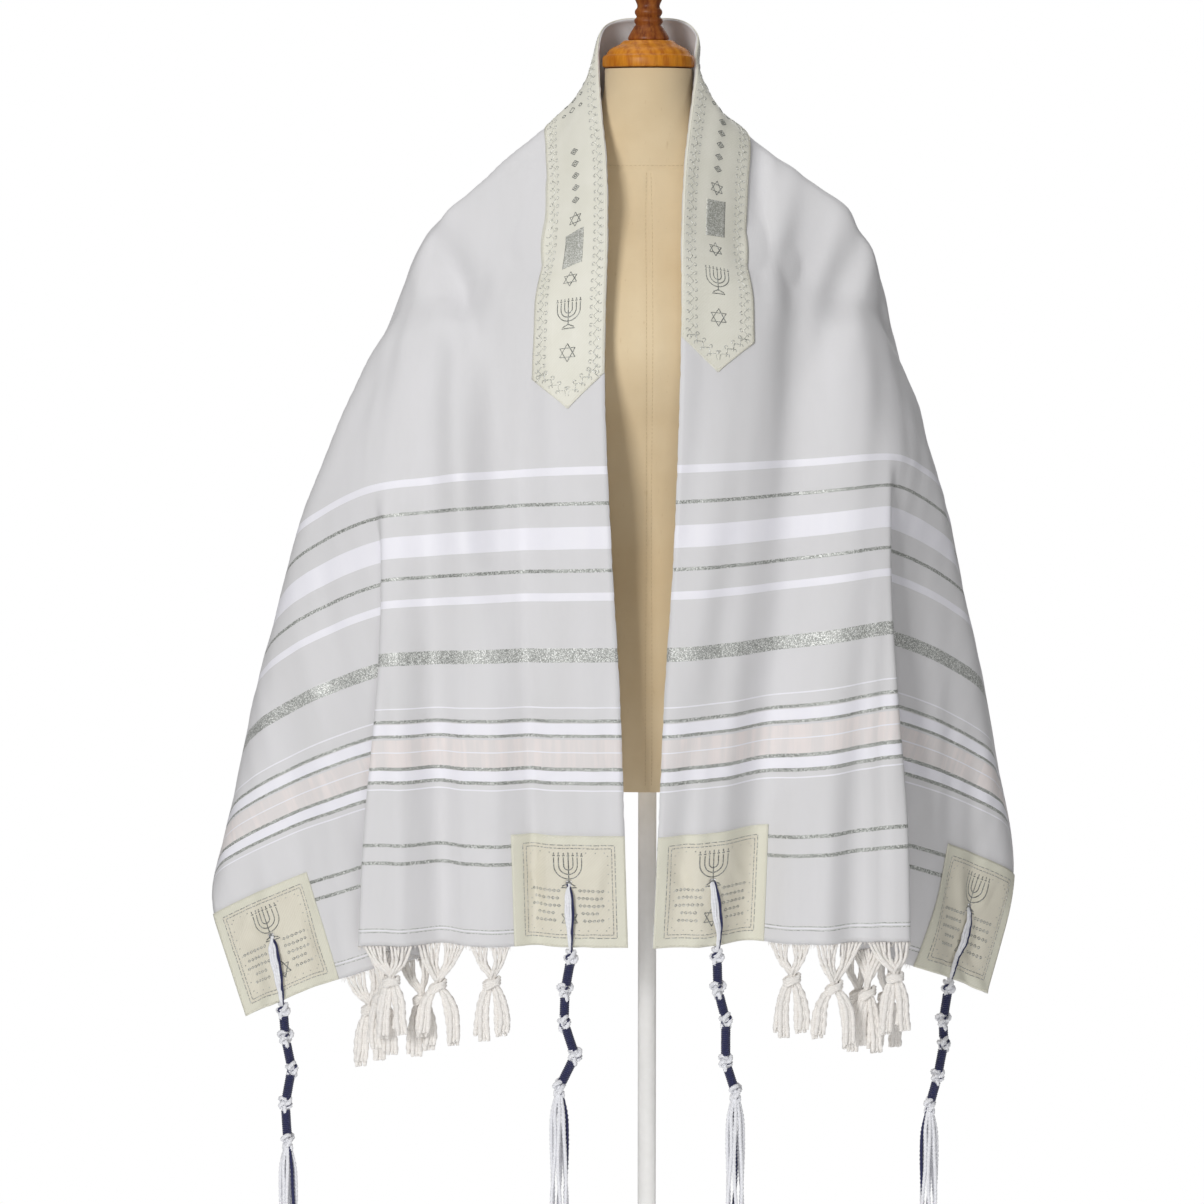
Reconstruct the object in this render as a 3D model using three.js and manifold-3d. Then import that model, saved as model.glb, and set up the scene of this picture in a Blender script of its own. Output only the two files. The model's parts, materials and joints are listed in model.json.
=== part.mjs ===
// A prayer shawl worn on a limbless dress form. Millimetres, +Z up, the front towards -Y.
// The origin is on the floor, under the middle of the stand's base.
//
// The cloth is one flat rectangle. A place on it has two flat coordinates:
//   s  along its length, 0 at the centre back, minus on the wearer's right (the viewer's left)
//   v  across its width, 0 at the neck edge, CLOTH.width at the outer edge
// Each section across the cloth starts on the neck edge and walks outwards over its full width,
// so the cloth keeps its woven size wherever it turns, folds or drops.
import * as THREE from 'three';
import { mergeVertices } from 'three/addons/utils/BufferGeometryUtils.js';
import Module from 'manifold-3d';

const wasm = await Module();
wasm.setup();

// ---------------------------------------------------------------- driving sizes

const CLOTH = { width: 560, wall: 1.6 };
const SEAM = 0.3;
const NECKBAND = {
  width: 76, wall: 1.0, leftEnd: 448, rightEnd: 414, point: 33, tip: 0.04, tipLift: 0.6,
};
const PATCH = { along: 112, across: 114, wall: 1.0, hole: 5.2, holeUp: 64 };
const FRINGE = { strip: 5, root: 3.2, locks: 4, lockRadius: 1.9, tail: 62, tails: 3, tailRadius: 3.2 };
const TASSEL = { winding: 3.9, knot: 6.4, strands: 8, strandRadius: 1.5, strandLength: 200 };
const STRAND_UNEVEN = 10;
const FORM_GAP = 3.4;
const NECK_TOP = 1448;
const FORM_BOTTOM = 719;
const POLE_RADIUS = 9.5;
const BASE = { radius: 145, height: 8 };

// ---------------------------------------------------------------- small helpers

const radians = THREE.MathUtils.degToRad;
const { lerp, clamp } = THREE.MathUtils;
const vec = (x, y, z) => new THREE.Vector3(x, y, z);

// 0 before the middle of a bend, 1 after it; the bend is `width` wide.
function bend(distance, width) {
  const t = clamp(distance / width + 0.5, 0, 1);
  return t * t * (3 - 2 * t);
}

// Smooth value of one column of a table, at `at` on the table's `axis` column.
function column(rows, axis, key, at) {
  let k = 0;
  while (k < rows.length - 2 && at > rows[k + 1][axis]) k += 1;
  const slope = (i) => {
    const a = rows[Math.max(i - 1, 0)];
    const b = rows[Math.min(i + 1, rows.length - 1)];
    return (b[key] - a[key]) / (b[axis] - a[axis]);
  };
  const [from, to] = [rows[k], rows[k + 1]];
  const span = to[axis] - from[axis];
  const t = clamp((at - from[axis]) / span, 0, 1);
  const [t2, t3] = [t * t, t * t * t];
  return (2 * t3 - 3 * t2 + 1) * from[key] + (t3 - 2 * t2 + t) * span * slope(k)
    + (3 * t2 - 2 * t3) * to[key] + (t3 - t2) * span * slope(k + 1);
}

// ---------------------------------------------------------------- dress form

// Level sections of the torso: half width, reach to the front and to the back, middle in Y.
const TORSO = [
  { z: FORM_BOTTOM, half: 168, front: 95, back: 115, middle: 10 },
  { z: 790, half: 172, front: 103, back: 122, middle: 10 },
  { z: 890, half: 158, front: 100, back: 108, middle: 8 },
  { z: 990, half: 128, front: 88, back: 86, middle: 5 },
  { z: 1080, half: 142, front: 104, back: 92, middle: 3 },
  { z: 1160, half: 160, front: 124, back: 99, middle: 0 },
  { z: 1225, half: 167, front: 107, back: 102, middle: 2 },
  { z: 1271, half: 175, front: 84, back: 92, middle: 8 },
  { z: 1301, half: 167, front: 63, back: 78, middle: 12 },
  { z: 1326, half: 141, front: 52, back: 66, middle: 14 },
  { z: 1348, half: 106, front: 47, back: 59, middle: 14 },
  { z: 1371, half: 74, front: 46, back: 54, middle: 12 },
  { z: 1396, half: 55, front: 46, back: 50, middle: 9 },
  { z: 1420, half: 46, front: 45, back: 46, middle: 4 },
  { z: NECK_TOP, half: 44, front: 43, back: 43, middle: 1 },
];

function torsoSection(z) {
  const part = (key) => column(TORSO, 'z', key, z);
  return { half: part('half'), front: part('front'), back: part('back'), middle: part('middle') };
}

// Moves a point of the cloth level and outwards until it clears the torso.
function clearOfTorso(point) {
  if (point.z < FORM_BOTTOM || point.z > NECK_TOP) return point;
  const section = torsoSection(point.z);
  const along = point.y - section.middle;
  const reach = along < 0 ? section.front : section.back;
  const size = Math.hypot(point.x / (section.half + FORM_GAP), along / (reach + FORM_GAP));
  if (size >= 1) return point;
  return vec(point.x / size, section.middle + along / size, point.z);
}

// ---------------------------------------------------------------- how the cloth hangs

// The neck edge, from the centre back round the neck and down each front to the hem.
const NECK_EDGE = [
  { left: 0, right: 0, y: 63, z: 1499 },
  { left: 26, right: 28, y: 57, z: 1498 },
  { left: 44, right: 46, y: 38, z: 1490 },
  { left: 50, right: 50, y: 10, z: 1473 },
  { left: 48, right: 43, y: -28, z: 1415 },
  { left: 42, right: 35, y: -64, z: 1352 },
  { left: 41, right: 31, y: -105, z: 1277 },
  { left: 43, right: 31, y: -131, z: 1215 },
  { left: 44, right: 29, y: -150, z: 1125 },
  { left: 37, right: 23, y: -156, z: 965 },
  { left: 29, right: 14, y: -158, z: 826 },
  { left: 21, right: 3, y: -160, z: 577 },
];

// Sections across the cloth, u from the centre back. `front` runs from the neck edge to the
// first fold, a Z pleat of depth `pleat` follows, `side` runs on from the pleat to the crest at
// the wearer's side, and the rest of the width falls behind. Turns are seen from above: 0 is
// outwards, 90 backwards. Drops are below level. Both in degrees.
const SECTIONS = [
  { u: 0, front: 45, frontTurn: 90, frontDrop: 69,
    pleat: 0, side: 155, sideTurn: 90, sideDrop: 70, backTurn: 90, backDrop: 80 },
  { u: 83, front: 45, frontTurn: 56, frontDrop: 67,
    pleat: 0, side: 155, sideTurn: 79, sideDrop: 59, backTurn: 100, backDrop: 78 },
  { u: 150, front: 96, frontTurn: 20, frontDrop: 28,
    pleat: 0, side: 106, sideTurn: 60, sideDrop: 48, backTurn: 106, backDrop: 77 },
  { u: 228, front: 190, frontTurn: 10, frontDrop: 10,
    pleat: 0, side: 110, sideTurn: 70, sideDrop: 60, backTurn: 113, backDrop: 74 },
  { u: 320, front: 230, frontTurn: 18, frontDrop: 15,
    pleat: 0, side: 90, sideTurn: 66, sideDrop: 45, backTurn: 112, backDrop: 70 },
  { u: 460, front: 220, frontTurn: 14, frontDrop: 8,
    pleat: 0, side: 89, sideTurn: 33, sideDrop: 27, backTurn: 96, backDrop: 57 },
  { u: 540, front: 232, frontTurn: 11, frontDrop: 5,
    pleat: 0, side: 122, sideTurn: 33, sideDrop: 27, backTurn: 93, backDrop: 49 },
  { u: 665, front: 236, frontTurn: 7, frontDrop: 3,
    pleat: 14, side: 172, sideTurn: 21, sideDrop: 26, backTurn: 88, backDrop: 46 },
  { u: 780, front: 247, frontTurn: 4, frontDrop: 1,
    pleat: 35, side: 207, sideTurn: 16, sideDrop: 24, backTurn: 84, backDrop: 40 },
  { u: 905, front: 263, frontTurn: 3, frontDrop: 0,
    pleat: 57, side: 262, sideTurn: 16, sideDrop: 22, backTurn: 84, backDrop: 40 },
  { u: 1017, front: 272, frontTurn: 2, frontDrop: 0,
    pleat: 74, side: 280, sideTurn: 17, sideDrop: 23, backTurn: 84, backDrop: 40 },
];
const RIGHT_KEYS = ['front', 'frontTurn', 'frontDrop', 'sideTurn', 'sideDrop'];

// The neckband's stretch of each section stands up round the neck: what is added to `frontTurn`
// and `frontDrop` there.
const COLLAR = [
  { u: 0, turn: 0, drop: 0 },
  { u: 83, turn: 0, drop: 0 },
  { u: 150, turn: 18, drop: 6 },
  { u: 228, turn: 24, drop: 12 },
  { u: 300, turn: 12, drop: 8 },
  { u: 360, turn: 0, drop: 0 },
  { u: 400, turn: 0, drop: 0 },
  { u: 1017, turn: 0, drop: 0 },
];
const COLLAR_BEND = 44;

const PLEAT_TURN = 170;
const PLEAT_DROP = 12;
const PLEAT_BEND = 15;
const FRONT_BEND = 60;
const CREST_BEND = 110;
const FRONT_SAG = 0.6;
const SIDE_SAG = 0.4;

// What the right side adds to the table above: it stands wider at the shoulder, closer below,
// and its front panel is lifted towards the pleat.
const RIGHT_CHANGES = [
  { u: 0, front: 0, frontTurn: 0, frontDrop: 0, sideTurn: 0, sideDrop: 0 },
  { u: 150, front: 0, frontTurn: -8, frontDrop: 0, sideTurn: -8, sideDrop: 0 },
  { u: 240, front: -6, frontTurn: -7, frontDrop: 0, sideTurn: -6, sideDrop: 2 },
  { u: 330, front: -10, frontTurn: -1, frontDrop: 1, sideTurn: 6, sideDrop: 3 },
  { u: 430, front: -8, frontTurn: 0, frontDrop: -2, sideTurn: 12, sideDrop: 0 },
  { u: 560, front: -12, frontTurn: 0, frontDrop: -8, sideTurn: 18, sideDrop: -1 },
  { u: 780, front: -10, frontTurn: 0, frontDrop: -8, sideTurn: 20, sideDrop: -1 },
  { u: 905, front: -10, frontTurn: 0, frontDrop: -5, sideTurn: 21, sideDrop: -2 },
  { u: 1017, front: -11, frontTurn: 0, frontDrop: -1, sideTurn: 22, sideDrop: -2 },
];

// Soft folds: a trough (minus depth) or ridge from one flat place to another, `wide` from its
// middle to where it has died away. `on` is left, right or both. A fold grows to its full depth
// at FULL_AT of its length and runs off the cloth; one that ends on the cloth dies away again.
const FOLDS = [
  { on: 'left', fromU: 470, fromV: 98, toU: 1120, toV: 92, wide: 32, depth: -8 },
  { on: 'left', fromU: 440, fromV: 176, toU: 1120, toV: 198, wide: 36, depth: -9 },
  { on: 'left', fromU: 215, fromV: 222, toU: 450, toV: 100, wide: 38, depth: -12 },
  { on: 'left', fromU: 350, fromV: 118, toU: 760, toV: 110, wide: 40, depth: -12 },
  { on: 'right', fromU: 470, fromV: 106, toU: 1120, toV: 96, wide: 36, depth: -10 },
  { on: 'right', fromU: 500, fromV: 174, toU: 1120, toV: 204, wide: 30, depth: -7 },
  { on: 'right', fromU: 130, fromV: 156, toU: 720, toV: 96, wide: 42, depth: -15 },
  { on: 'right', fromU: 260, fromV: 196, toU: 640, toV: 172, wide: 36, depth: 6 },
  { on: 'both', fromU: 130, fromV: 190, toU: 90, toV: 640, wide: 58, depth: -20 },
  { on: 'both', fromU: 190, fromV: 240, toU: 180, toV: 640, wide: 46, depth: 24 },
  { on: 'both', fromU: 250, fromV: 270, toU: 300, toV: 640, wide: 52, depth: -26 },
  { on: 'both', fromU: 330, fromV: 320, toU: 430, toV: 640, wide: 50, depth: 22 },
  { on: 'both', fromU: 420, fromV: 360, toU: 560, toV: 650, wide: 50, depth: -20 },
  { on: 'both', fromU: 560, fromV: 430, toU: 720, toV: 640, wide: 44, depth: 14 },
];

const FULL_AT = 0.85;
const WALK_STEP = 4;

// The neck edge of one side with its running length u, scaled to end at the same hem.
function neckEdgeOf(side) {
  const rows = NECK_EDGE.map((row) => ({ out: row[side], y: row.y, z: row.z }));
  rows[0].u = 0;
  for (let k = 1; k < rows.length; k += 1) {
    const [a, b] = [rows[k - 1], rows[k]];
    b.u = a.u + Math.hypot(b.out - a.out, b.y - a.y, b.z - a.z);
  }
  const scale = HALF_LENGTH / rows[rows.length - 1].u;
  for (const row of rows) row.u *= scale;
  return [{ ...rows[1], u: -rows[1].u, out: -rows[1].out }, ...rows];
}

const HALF_LENGTH = SECTIONS[SECTIONS.length - 1].u;
const MIRRORED = { ...SECTIONS[1], u: -SECTIONS[1].u };
for (const key of ['frontTurn', 'sideTurn', 'backTurn']) MIRRORED[key] = 180 - MIRRORED[key];
const SECTION_ROWS = [MIRRORED, ...SECTIONS];
const EDGES = { left: neckEdgeOf('left'), right: neckEdgeOf('right') };

const sideOf = (s) => (s < 0 ? 'left' : 'right');

function sectionAt(s) {
  const u = Math.abs(s);
  const row = {};
  for (const key of Object.keys(SECTIONS[0])) row[key] = column(SECTION_ROWS, 'u', key, u);
  row.pleat = Math.max(row.pleat, 0);
  row.collarTurn = column(COLLAR, 'u', 'turn', u);
  row.collarDrop = column(COLLAR, 'u', 'drop', u);
  if (s > 0) {
    for (const key of RIGHT_KEYS) row[key] += column(RIGHT_CHANGES, 'u', key, u);
  }
  return row;
}

// A stretch drops less at its start and more at its end, by the share `sag` of its drop.
const steepening = (t, sag) => lerp(1 - sag, 1 + sag, clamp(t, 0, 1));

// Walks one section and returns its points every WALK_STEP of the cloth's width.
function walkSection(s) {
  const row = sectionAt(s);
  const edge = EDGES[sideOf(s)];
  const u = Math.abs(s);
  const across = s < 0 ? -1 : 1;
  const returnAt = row.front + row.pleat;
  const crestAt = returnAt + row.side;
  const start = (key) => column(edge, 'u', key, u);
  const at = vec(start('out') * across, start('y'), start('z'));
  const points = [at.clone()];
  for (let v = WALK_STEP / 2; v < CLOTH.width; v += WALK_STEP) {
    const toSide = bend(v - row.front, FRONT_BEND);
    const toBack = bend(v - crestAt, CREST_BEND);
    const inPleat = bend(v - row.front, PLEAT_BEND) - bend(v - returnAt, PLEAT_BEND);
    const frontDrop = row.frontDrop * steepening(v / row.front, FRONT_SAG);
    const sideDrop = row.sideDrop * steepening((v - returnAt) / row.side, SIDE_SAG);
    const inCollar = 1 - bend(v - NECKBAND.width, COLLAR_BEND);
    const frontTurn = row.frontTurn + inCollar * row.collarTurn;
    const nearDrop = frontDrop + inCollar * row.collarDrop;
    const plainTurn = lerp(lerp(frontTurn, row.sideTurn, toSide), row.backTurn, toBack);
    const plainDrop = lerp(lerp(nearDrop, sideDrop, toSide), row.backDrop, toBack);
    const turn = lerp(plainTurn, PLEAT_TURN, inPleat);
    const drop = lerp(plainDrop, PLEAT_DROP, inPleat);
    const level = Math.cos(radians(drop)) * WALK_STEP;
    at.x += across * level * Math.cos(radians(turn));
    at.y += level * Math.sin(radians(turn));
    at.z -= Math.sin(radians(drop)) * WALK_STEP;
    points.push(at.clone());
  }
  return points;
}

const walked = new Map();
function plainPoint(s, v) {
  if (!walked.has(s)) walked.set(s, walkSection(s));
  const points = walked.get(s);
  const k = Math.min(Math.floor(v / WALK_STEP), points.length - 2);
  return points[k].clone().lerp(points[k + 1], v / WALK_STEP - k);
}

// Height of the soft folds at one flat place.
function foldHeight(s, v) {
  const u = Math.abs(s);
  let height = 0;
  for (const fold of FOLDS) {
    if (fold.on !== 'both' && fold.on !== sideOf(s)) continue;
    const length = Math.hypot(fold.toU - fold.fromU, fold.toV - fold.fromV);
    const [du, dv] = [(fold.toU - fold.fromU) / length, (fold.toV - fold.fromV) / length];
    const along = ((u - fold.fromU) * du + (v - fold.fromV) * dv) / length;
    const off = Math.abs((v - fold.fromV) * du - (u - fold.fromU) * dv) / fold.wide;
    const endsOnCloth = fold.toU < HALF_LENGTH && fold.toV < CLOTH.width;
    if (along <= 0 || off >= 1 || (endsOnCloth && along >= 1)) continue;
    const grown = Math.sin((Math.min(along, FULL_AT) / FULL_AT) * (Math.PI / 2));
    const swell = endsOnCloth ? Math.sin(Math.PI * along) : grown;
    height += fold.depth * swell * swell * (1 + Math.cos(Math.PI * off)) / 2;
  }
  return height;
}

const PROBE = 3;
function facing(place, s, v) {
  const [v0, v1] = [Math.max(v - PROBE, 0), Math.min(v + PROBE, CLOTH.width)];
  const [s0, s1] = [Math.max(s - PROBE, -HALF_LENGTH), Math.min(s + PROBE, HALF_LENGTH)];
  const alongS = place(s1, v).sub(place(s0, v));
  const alongV = place(s, v1).sub(place(s, v0));
  return alongS.cross(alongV).normalize();
}

function foldedPoint(s, v) {
  const point = plainPoint(s, v).addScaledVector(facing(plainPoint, s, v), foldHeight(s, v));
  return clearOfTorso(point);
}

// A point `off` millimetres outside the middle of the cloth's wall.
function clothPoint(s, v, off) {
  return foldedPoint(s, v).addScaledVector(facing(foldedPoint, s, v), off);
}

// ---------------------------------------------------------------- solids

// A closed wall between two grids of points, grid[row][column]; `outer` faces the viewer.
function wallBetween(outer, inner) {
  const [rows, columns] = [outer.length, outer[0].length];
  const positions = [...outer.flat(), ...inner.flat()].flatMap((p) => [p.x, p.y, p.z]);
  const out = (i, j) => i * columns + j;
  const into = (i, j) => rows * columns + i * columns + j;
  const triangles = [];
  const quad = (a, b, c, d) => triangles.push(a, b, c, a, c, d);
  for (let i = 0; i < rows - 1; i += 1) {
    for (let j = 0; j < columns - 1; j += 1) {
      quad(out(i, j), out(i + 1, j), out(i + 1, j + 1), out(i, j + 1));
      quad(into(i, j), into(i, j + 1), into(i + 1, j + 1), into(i + 1, j));
    }
    quad(out(i + 1, 0), out(i, 0), into(i, 0), into(i + 1, 0));
    quad(out(i, columns - 1), out(i + 1, columns - 1), into(i + 1, columns - 1), into(i, columns - 1));
  }
  for (let j = 0; j < columns - 1; j += 1) {
    quad(out(0, j), out(0, j + 1), into(0, j + 1), into(0, j));
    quad(out(rows - 1, j + 1), out(rows - 1, j), into(rows - 1, j), into(rows - 1, j + 1));
  }
  return solidFrom(positions, triangles);
}

function solidFrom(positions, triangles) {
  const geometry = new THREE.BufferGeometry();
  geometry.setAttribute('position', new THREE.Float32BufferAttribute(positions, 3));
  geometry.setIndex(triangles);
  return geometry;
}

// A closed tube through `path`: a ring of `sides` corners round each point, `radius(k)` wide,
// flattened by `flat` across the way it faces, which is square to `width`.
function tube(path, radius, sides, flat = 1, width = vec(1, 0, 0)) {
  const positions = [];
  const triangles = [];
  path.forEach((point, k) => {
    const next = path[Math.min(k + 1, path.length - 1)];
    const ahead = next.clone().sub(path[Math.max(k - 1, 0)]).normalize();
    const sideways = width.clone().addScaledVector(ahead, -ahead.dot(width)).normalize();
    const facingOut = ahead.clone().cross(sideways);
    for (let i = 0; i < sides; i += 1) {
      const angle = (i / sides) * 2 * Math.PI;
      const corner = point.clone().addScaledVector(sideways, Math.cos(angle) * radius(k))
        .addScaledVector(facingOut, Math.sin(angle) * radius(k) * flat);
      positions.push(corner.x, corner.y, corner.z);
    }
  });
  for (let k = 0; k < path.length - 1; k += 1) {
    for (let i = 0; i < sides; i += 1) {
      const [a, b] = [k * sides + i, k * sides + (i + 1) % sides];
      triangles.push(a, b, b + sides, a, b + sides, a + sides);
    }
  }
  const last = (path.length - 1) * sides;
  for (let i = 1; i < sides - 1; i += 1) {
    triangles.push(0, i + 1, i, last, last + i, last + i + 1);
  }
  return solidFrom(positions, triangles);
}

function toManifold(geometry) {
  const plain = mergeVertices(geometry.clone().deleteAttribute('normal').deleteAttribute('uv'), 1e-4);
  return new wasm.Manifold(new wasm.Mesh({
    numProp: 3,
    vertProperties: new Float32Array(plain.attributes.position.array),
    triVerts: new Uint32Array(plain.index.array),
  }));
}

function fromManifold(solid) {
  const { vertProperties, triVerts } = solid.getMesh();
  return solidFrom(Array.from(vertProperties), Array.from(triVerts));
}

function joined(geometries) {
  return fromManifold(geometries.map(toManifold).reduce((whole, piece) => whole.add(piece)));
}

function cutBy(geometry, cutters) {
  const cut = (whole, cutter) => whole.subtract(toManifold(cutter));
  return fromManifold(cutters.reduce(cut, toManifold(geometry)));
}

// ---------------------------------------------------------------- grid of the cloth

const ROW_STEP = 34;
const NECKBAND_COLUMNS = 5;

// Rows along the cloth: even steps, and rows on the ends of what is sewn on.
function rowPlaces() {
  const fixed = [-HALF_LENGTH, -(HALF_LENGTH - PATCH.along), -NECKBAND.leftEnd, 0, NECKBAND.rightEnd,
    HALF_LENGTH - PATCH.along, HALF_LENGTH];
  const places = [fixed[0]];
  for (let k = 1; k < fixed.length; k += 1) {
    const steps = Math.round((fixed[k] - fixed[k - 1]) / ROW_STEP);
    for (let i = 1; i <= steps; i += 1) places.push(lerp(fixed[k - 1], fixed[k], i / steps));
  }
  return places;
}

// Columns across the cloth: the neckband and patches have theirs, and the pleat's two folds
// keep four close columns each wherever they lie in this row.
const PLEAT_COLUMNS = { least: 160, most: 290, apart: 22, end: 372, offsets: [-9, -3, 3, 9] };

// `parts` places spread evenly between a and b, both left out.
function spread(a, b, parts) {
  return Array.from({ length: parts }, (_, i) => lerp(a, b, (i + 1) / (parts + 1)));
}

function columnPlaces(s) {
  const row = sectionAt(s);
  const { least, most, apart, end, offsets } = PLEAT_COLUMNS;
  const first = clamp(row.front, least, most);
  const second = clamp(row.front + row.pleat, first + apart, end);
  const firstFold = offsets.map((step) => first + step);
  const secondFold = offsets.map((step) => second + step);
  const band = [0, ...spread(0, NECKBAND.width, NECKBAND_COLUMNS - 2), NECKBAND.width];
  const outerFrom = CLOTH.width - PATCH.across;
  return [
    ...band, PATCH.across, ...spread(PATCH.across, firstFold[0], 2),
    ...firstFold, lerp(first, second, 0.5), ...secondFold,
    ...spread(secondFold[3], outerFrom, 2), outerFrom,
    ...spread(outerFrom, CLOTH.width, 2), CLOTH.width,
  ];
}

const ROWS = rowPlaces();

function gridOf(rows, columnsOf, off) {
  return rows.map((s) => columnsOf(s).map((v) => clothPoint(s, v, off)));
}

// Which of the rising `places` closes the cell that holds `at`.
function cellOf(places, at) {
  let k = 1;
  while (k < places.length - 1 && at > places[k]) k += 1;
  return k;
}

// A point on the flat faces of a patch's stretch of the grid.
function onFaces(s, v, off) {
  const k = cellOf(ROWS, s);
  const columns = columnPlaces(ROWS[k]);
  const j = cellOf(columns, v);
  const alongS = (s - ROWS[k - 1]) / (ROWS[k] - ROWS[k - 1]);
  const alongV = (v - columns[j - 1]) / (columns[j] - columns[j - 1]);
  const corner = (row, j1) => clothPoint(row, columns[j1], off);
  const between = (row) => corner(row, j - 1).lerp(corner(row, j), alongV);
  return between(ROWS[k - 1]).lerp(between(ROWS[k]), alongS);
}

function layer(rows, columnsOf, wall) {
  const inside = CLOTH.wall / 2 + SEAM;
  return wallBetween(gridOf(rows, columnsOf, inside + wall), gridOf(rows, columnsOf, inside));
}

// ---------------------------------------------------------------- what is cut and sewn

const CORNERS = [
  { name: 'inner_left', sign: -1, far: false },
  { name: 'far_left', sign: -1, far: true },
  { name: 'inner_right', sign: 1, far: false },
  { name: 'far_right', sign: 1, far: true },
];

const holeS = (corner) => corner.sign * (HALF_LENGTH - PATCH.holeUp);
const holeV = (corner) => (corner.far ? CLOTH.width - PATCH.across / 2 : PATCH.across / 2);

function holeCutter(corner) {
  const middle = onFaces(holeS(corner), holeV(corner), 0);
  const out = facing(foldedPoint, holeS(corner), holeV(corner));
  const cutter = new THREE.CylinderGeometry(PATCH.hole, PATCH.hole, 12, 8);
  cutter.applyQuaternion(new THREE.Quaternion().setFromUnitVectors(vec(0, 1, 0), out));
  return cutter.translate(middle.x, middle.y, middle.z);
}

function clothShape() {
  const half = CLOTH.wall / 2;
  const whole = wallBetween(gridOf(ROWS, columnPlaces, half), gridOf(ROWS, columnPlaces, -half));
  return cutBy(whole, CORNERS.map(holeCutter));
}

// The neckband: rows of the cloth between its two shoulders, then a point at each end, whose tip
// stands `tipLift` off the cloth.
function neckbandShape() {
  const middle = NECKBAND.width / 2;
  const body = ROWS.filter((s) => s >= -NECKBAND.leftEnd - 1 && s <= NECKBAND.rightEnd + 1);
  const tips = [-NECKBAND.leftEnd - NECKBAND.point, NECKBAND.rightEnd + NECKBAND.point];
  const rows = [tips[0], ...body, tips[1]];
  const inside = CLOTH.wall / 2 + SEAM;
  const rowAt = (s, off) => {
    const isTip = tips.includes(s);
    const columns = columnPlaces(s).slice(0, NECKBAND_COLUMNS);
    const across = columns.map((v) => (isTip ? lerp(middle, v, NECKBAND.tip) : v));
    return across.map((v) => clothPoint(s, v, off + (isTip ? NECKBAND.tipLift : 0)));
  };
  const grid = (off) => rows.map((s) => rowAt(s, off));
  return wallBetween(grid(inside + NECKBAND.wall), grid(inside));
}

function patchShape(corner) {
  const from = HALF_LENGTH - PATCH.along - 1;
  const rows = ROWS.filter((s) => s * corner.sign >= from);
  const nearest = corner.far ? CLOTH.width - PATCH.across - 1 : 0;
  const furthest = corner.far ? CLOTH.width : PATCH.across + 1;
  const columns = (s) => columnPlaces(s).filter((v) => v >= nearest && v <= furthest);
  return cutBy(layer(rows, columns, PATCH.wall), [holeCutter(corner)]);
}

// ---------------------------------------------------------------- build

const COLOURS = {
  cloth: { color: 0xe4e3e4, roughness: 0.8 },
  brocade: { color: 0xe6e4d4, roughness: 0.6 },
  wool: { color: 0xe9e9ee, roughness: 0.85 },
  fringe: { color: 0xefece6, roughness: 0.85 },
  jersey: { color: 0xdcc9a4, roughness: 0.9 },
  paleWood: { color: 0xc98a2e, roughness: 0.35 },
  darkWood: { color: 0x8a4513, roughness: 0.3 },
  lacquer: { color: 0xf2f1ee, roughness: 0.4 },
};

const shawl = new THREE.Group();

function add(name, geometry, look) {
  const mesh = new THREE.Mesh(geometry, new THREE.MeshStandardMaterial({ metalness: 0, ...look }));
  mesh.name = name;
  shawl.add(mesh);
  return mesh;
}

// Turned profiles from the axis out and back: radius and height above the neck.
const CAP_PROFILE = [
  { r: 0, up: 0 }, { r: 45.5, up: 0 }, { r: 46.6, up: 2 }, { r: 46.6, up: 9 }, { r: 45, up: 12 },
  { r: 42.5, up: 12.7 }, { r: 40.5, up: 16 }, { r: 34, up: 21 }, { r: 28.5, up: 23.5 },
  { r: 26, up: 26 }, { r: 24.5, up: 27 }, { r: 0, up: 27 },
];
const FINIAL_PROFILE = [
  { r: 0, up: 0 }, { r: 20.5, up: 0 }, { r: 20.8, up: 2 }, { r: 18.5, up: 7.5 }, { r: 14.5, up: 14 },
  { r: 12.8, up: 15.5 }, { r: 14.3, up: 18 }, { r: 14.3, up: 21 }, { r: 12, up: 23.4 },
  { r: 13.8, up: 26 }, { r: 13.8, up: 30 }, { r: 11.2, up: 33 }, { r: 13, up: 38.5 },
  { r: 16, up: 46.5 }, { r: 17.6, up: 54.5 }, { r: 16.8, up: 62.5 }, { r: 13, up: 69.5 },
  { r: 7, up: 74 }, { r: 0, up: 75.5 },
];
const CAP_BOTTOM = NECK_TOP + SEAM;
const CAP_HEIGHT = CAP_PROFILE[CAP_PROFILE.length - 1].up;
const FINIAL_BOTTOM = CAP_BOTTOM + CAP_HEIGHT + SEAM;

function turned(profile, bottom, sides) {
  const outline = profile.map((point) => new THREE.Vector2(point.r, point.up));
  const shape = new THREE.LatheGeometry(outline, sides);
  const whole = fromManifold(toManifold(shape));
  return whole.rotateX(Math.PI / 2).translate(0, 0, bottom);
}

function cylinder(radius, bottom, top, sides) {
  const shape = new THREE.CylinderGeometry(radius, radius, top - bottom, sides);
  return shape.rotateX(Math.PI / 2).translate(0, 0, (bottom + top) / 2);
}

// ---------------------------------------------------------------- tassels and fringe

// A point in the cloth's wall `beyond` its hem, `off` outside the wall's middle.
const HEM_REACH = 20;
function pastHem(sign, v, beyond, off) {
  const above = foldedPoint(sign * (HALF_LENGTH - HEM_REACH), v);
  const warp = foldedPoint(sign * HALF_LENGTH, v).sub(above).normalize();
  return clothPoint(sign * HALF_LENGTH, v, off).addScaledVector(warp, beyond);
}

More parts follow.
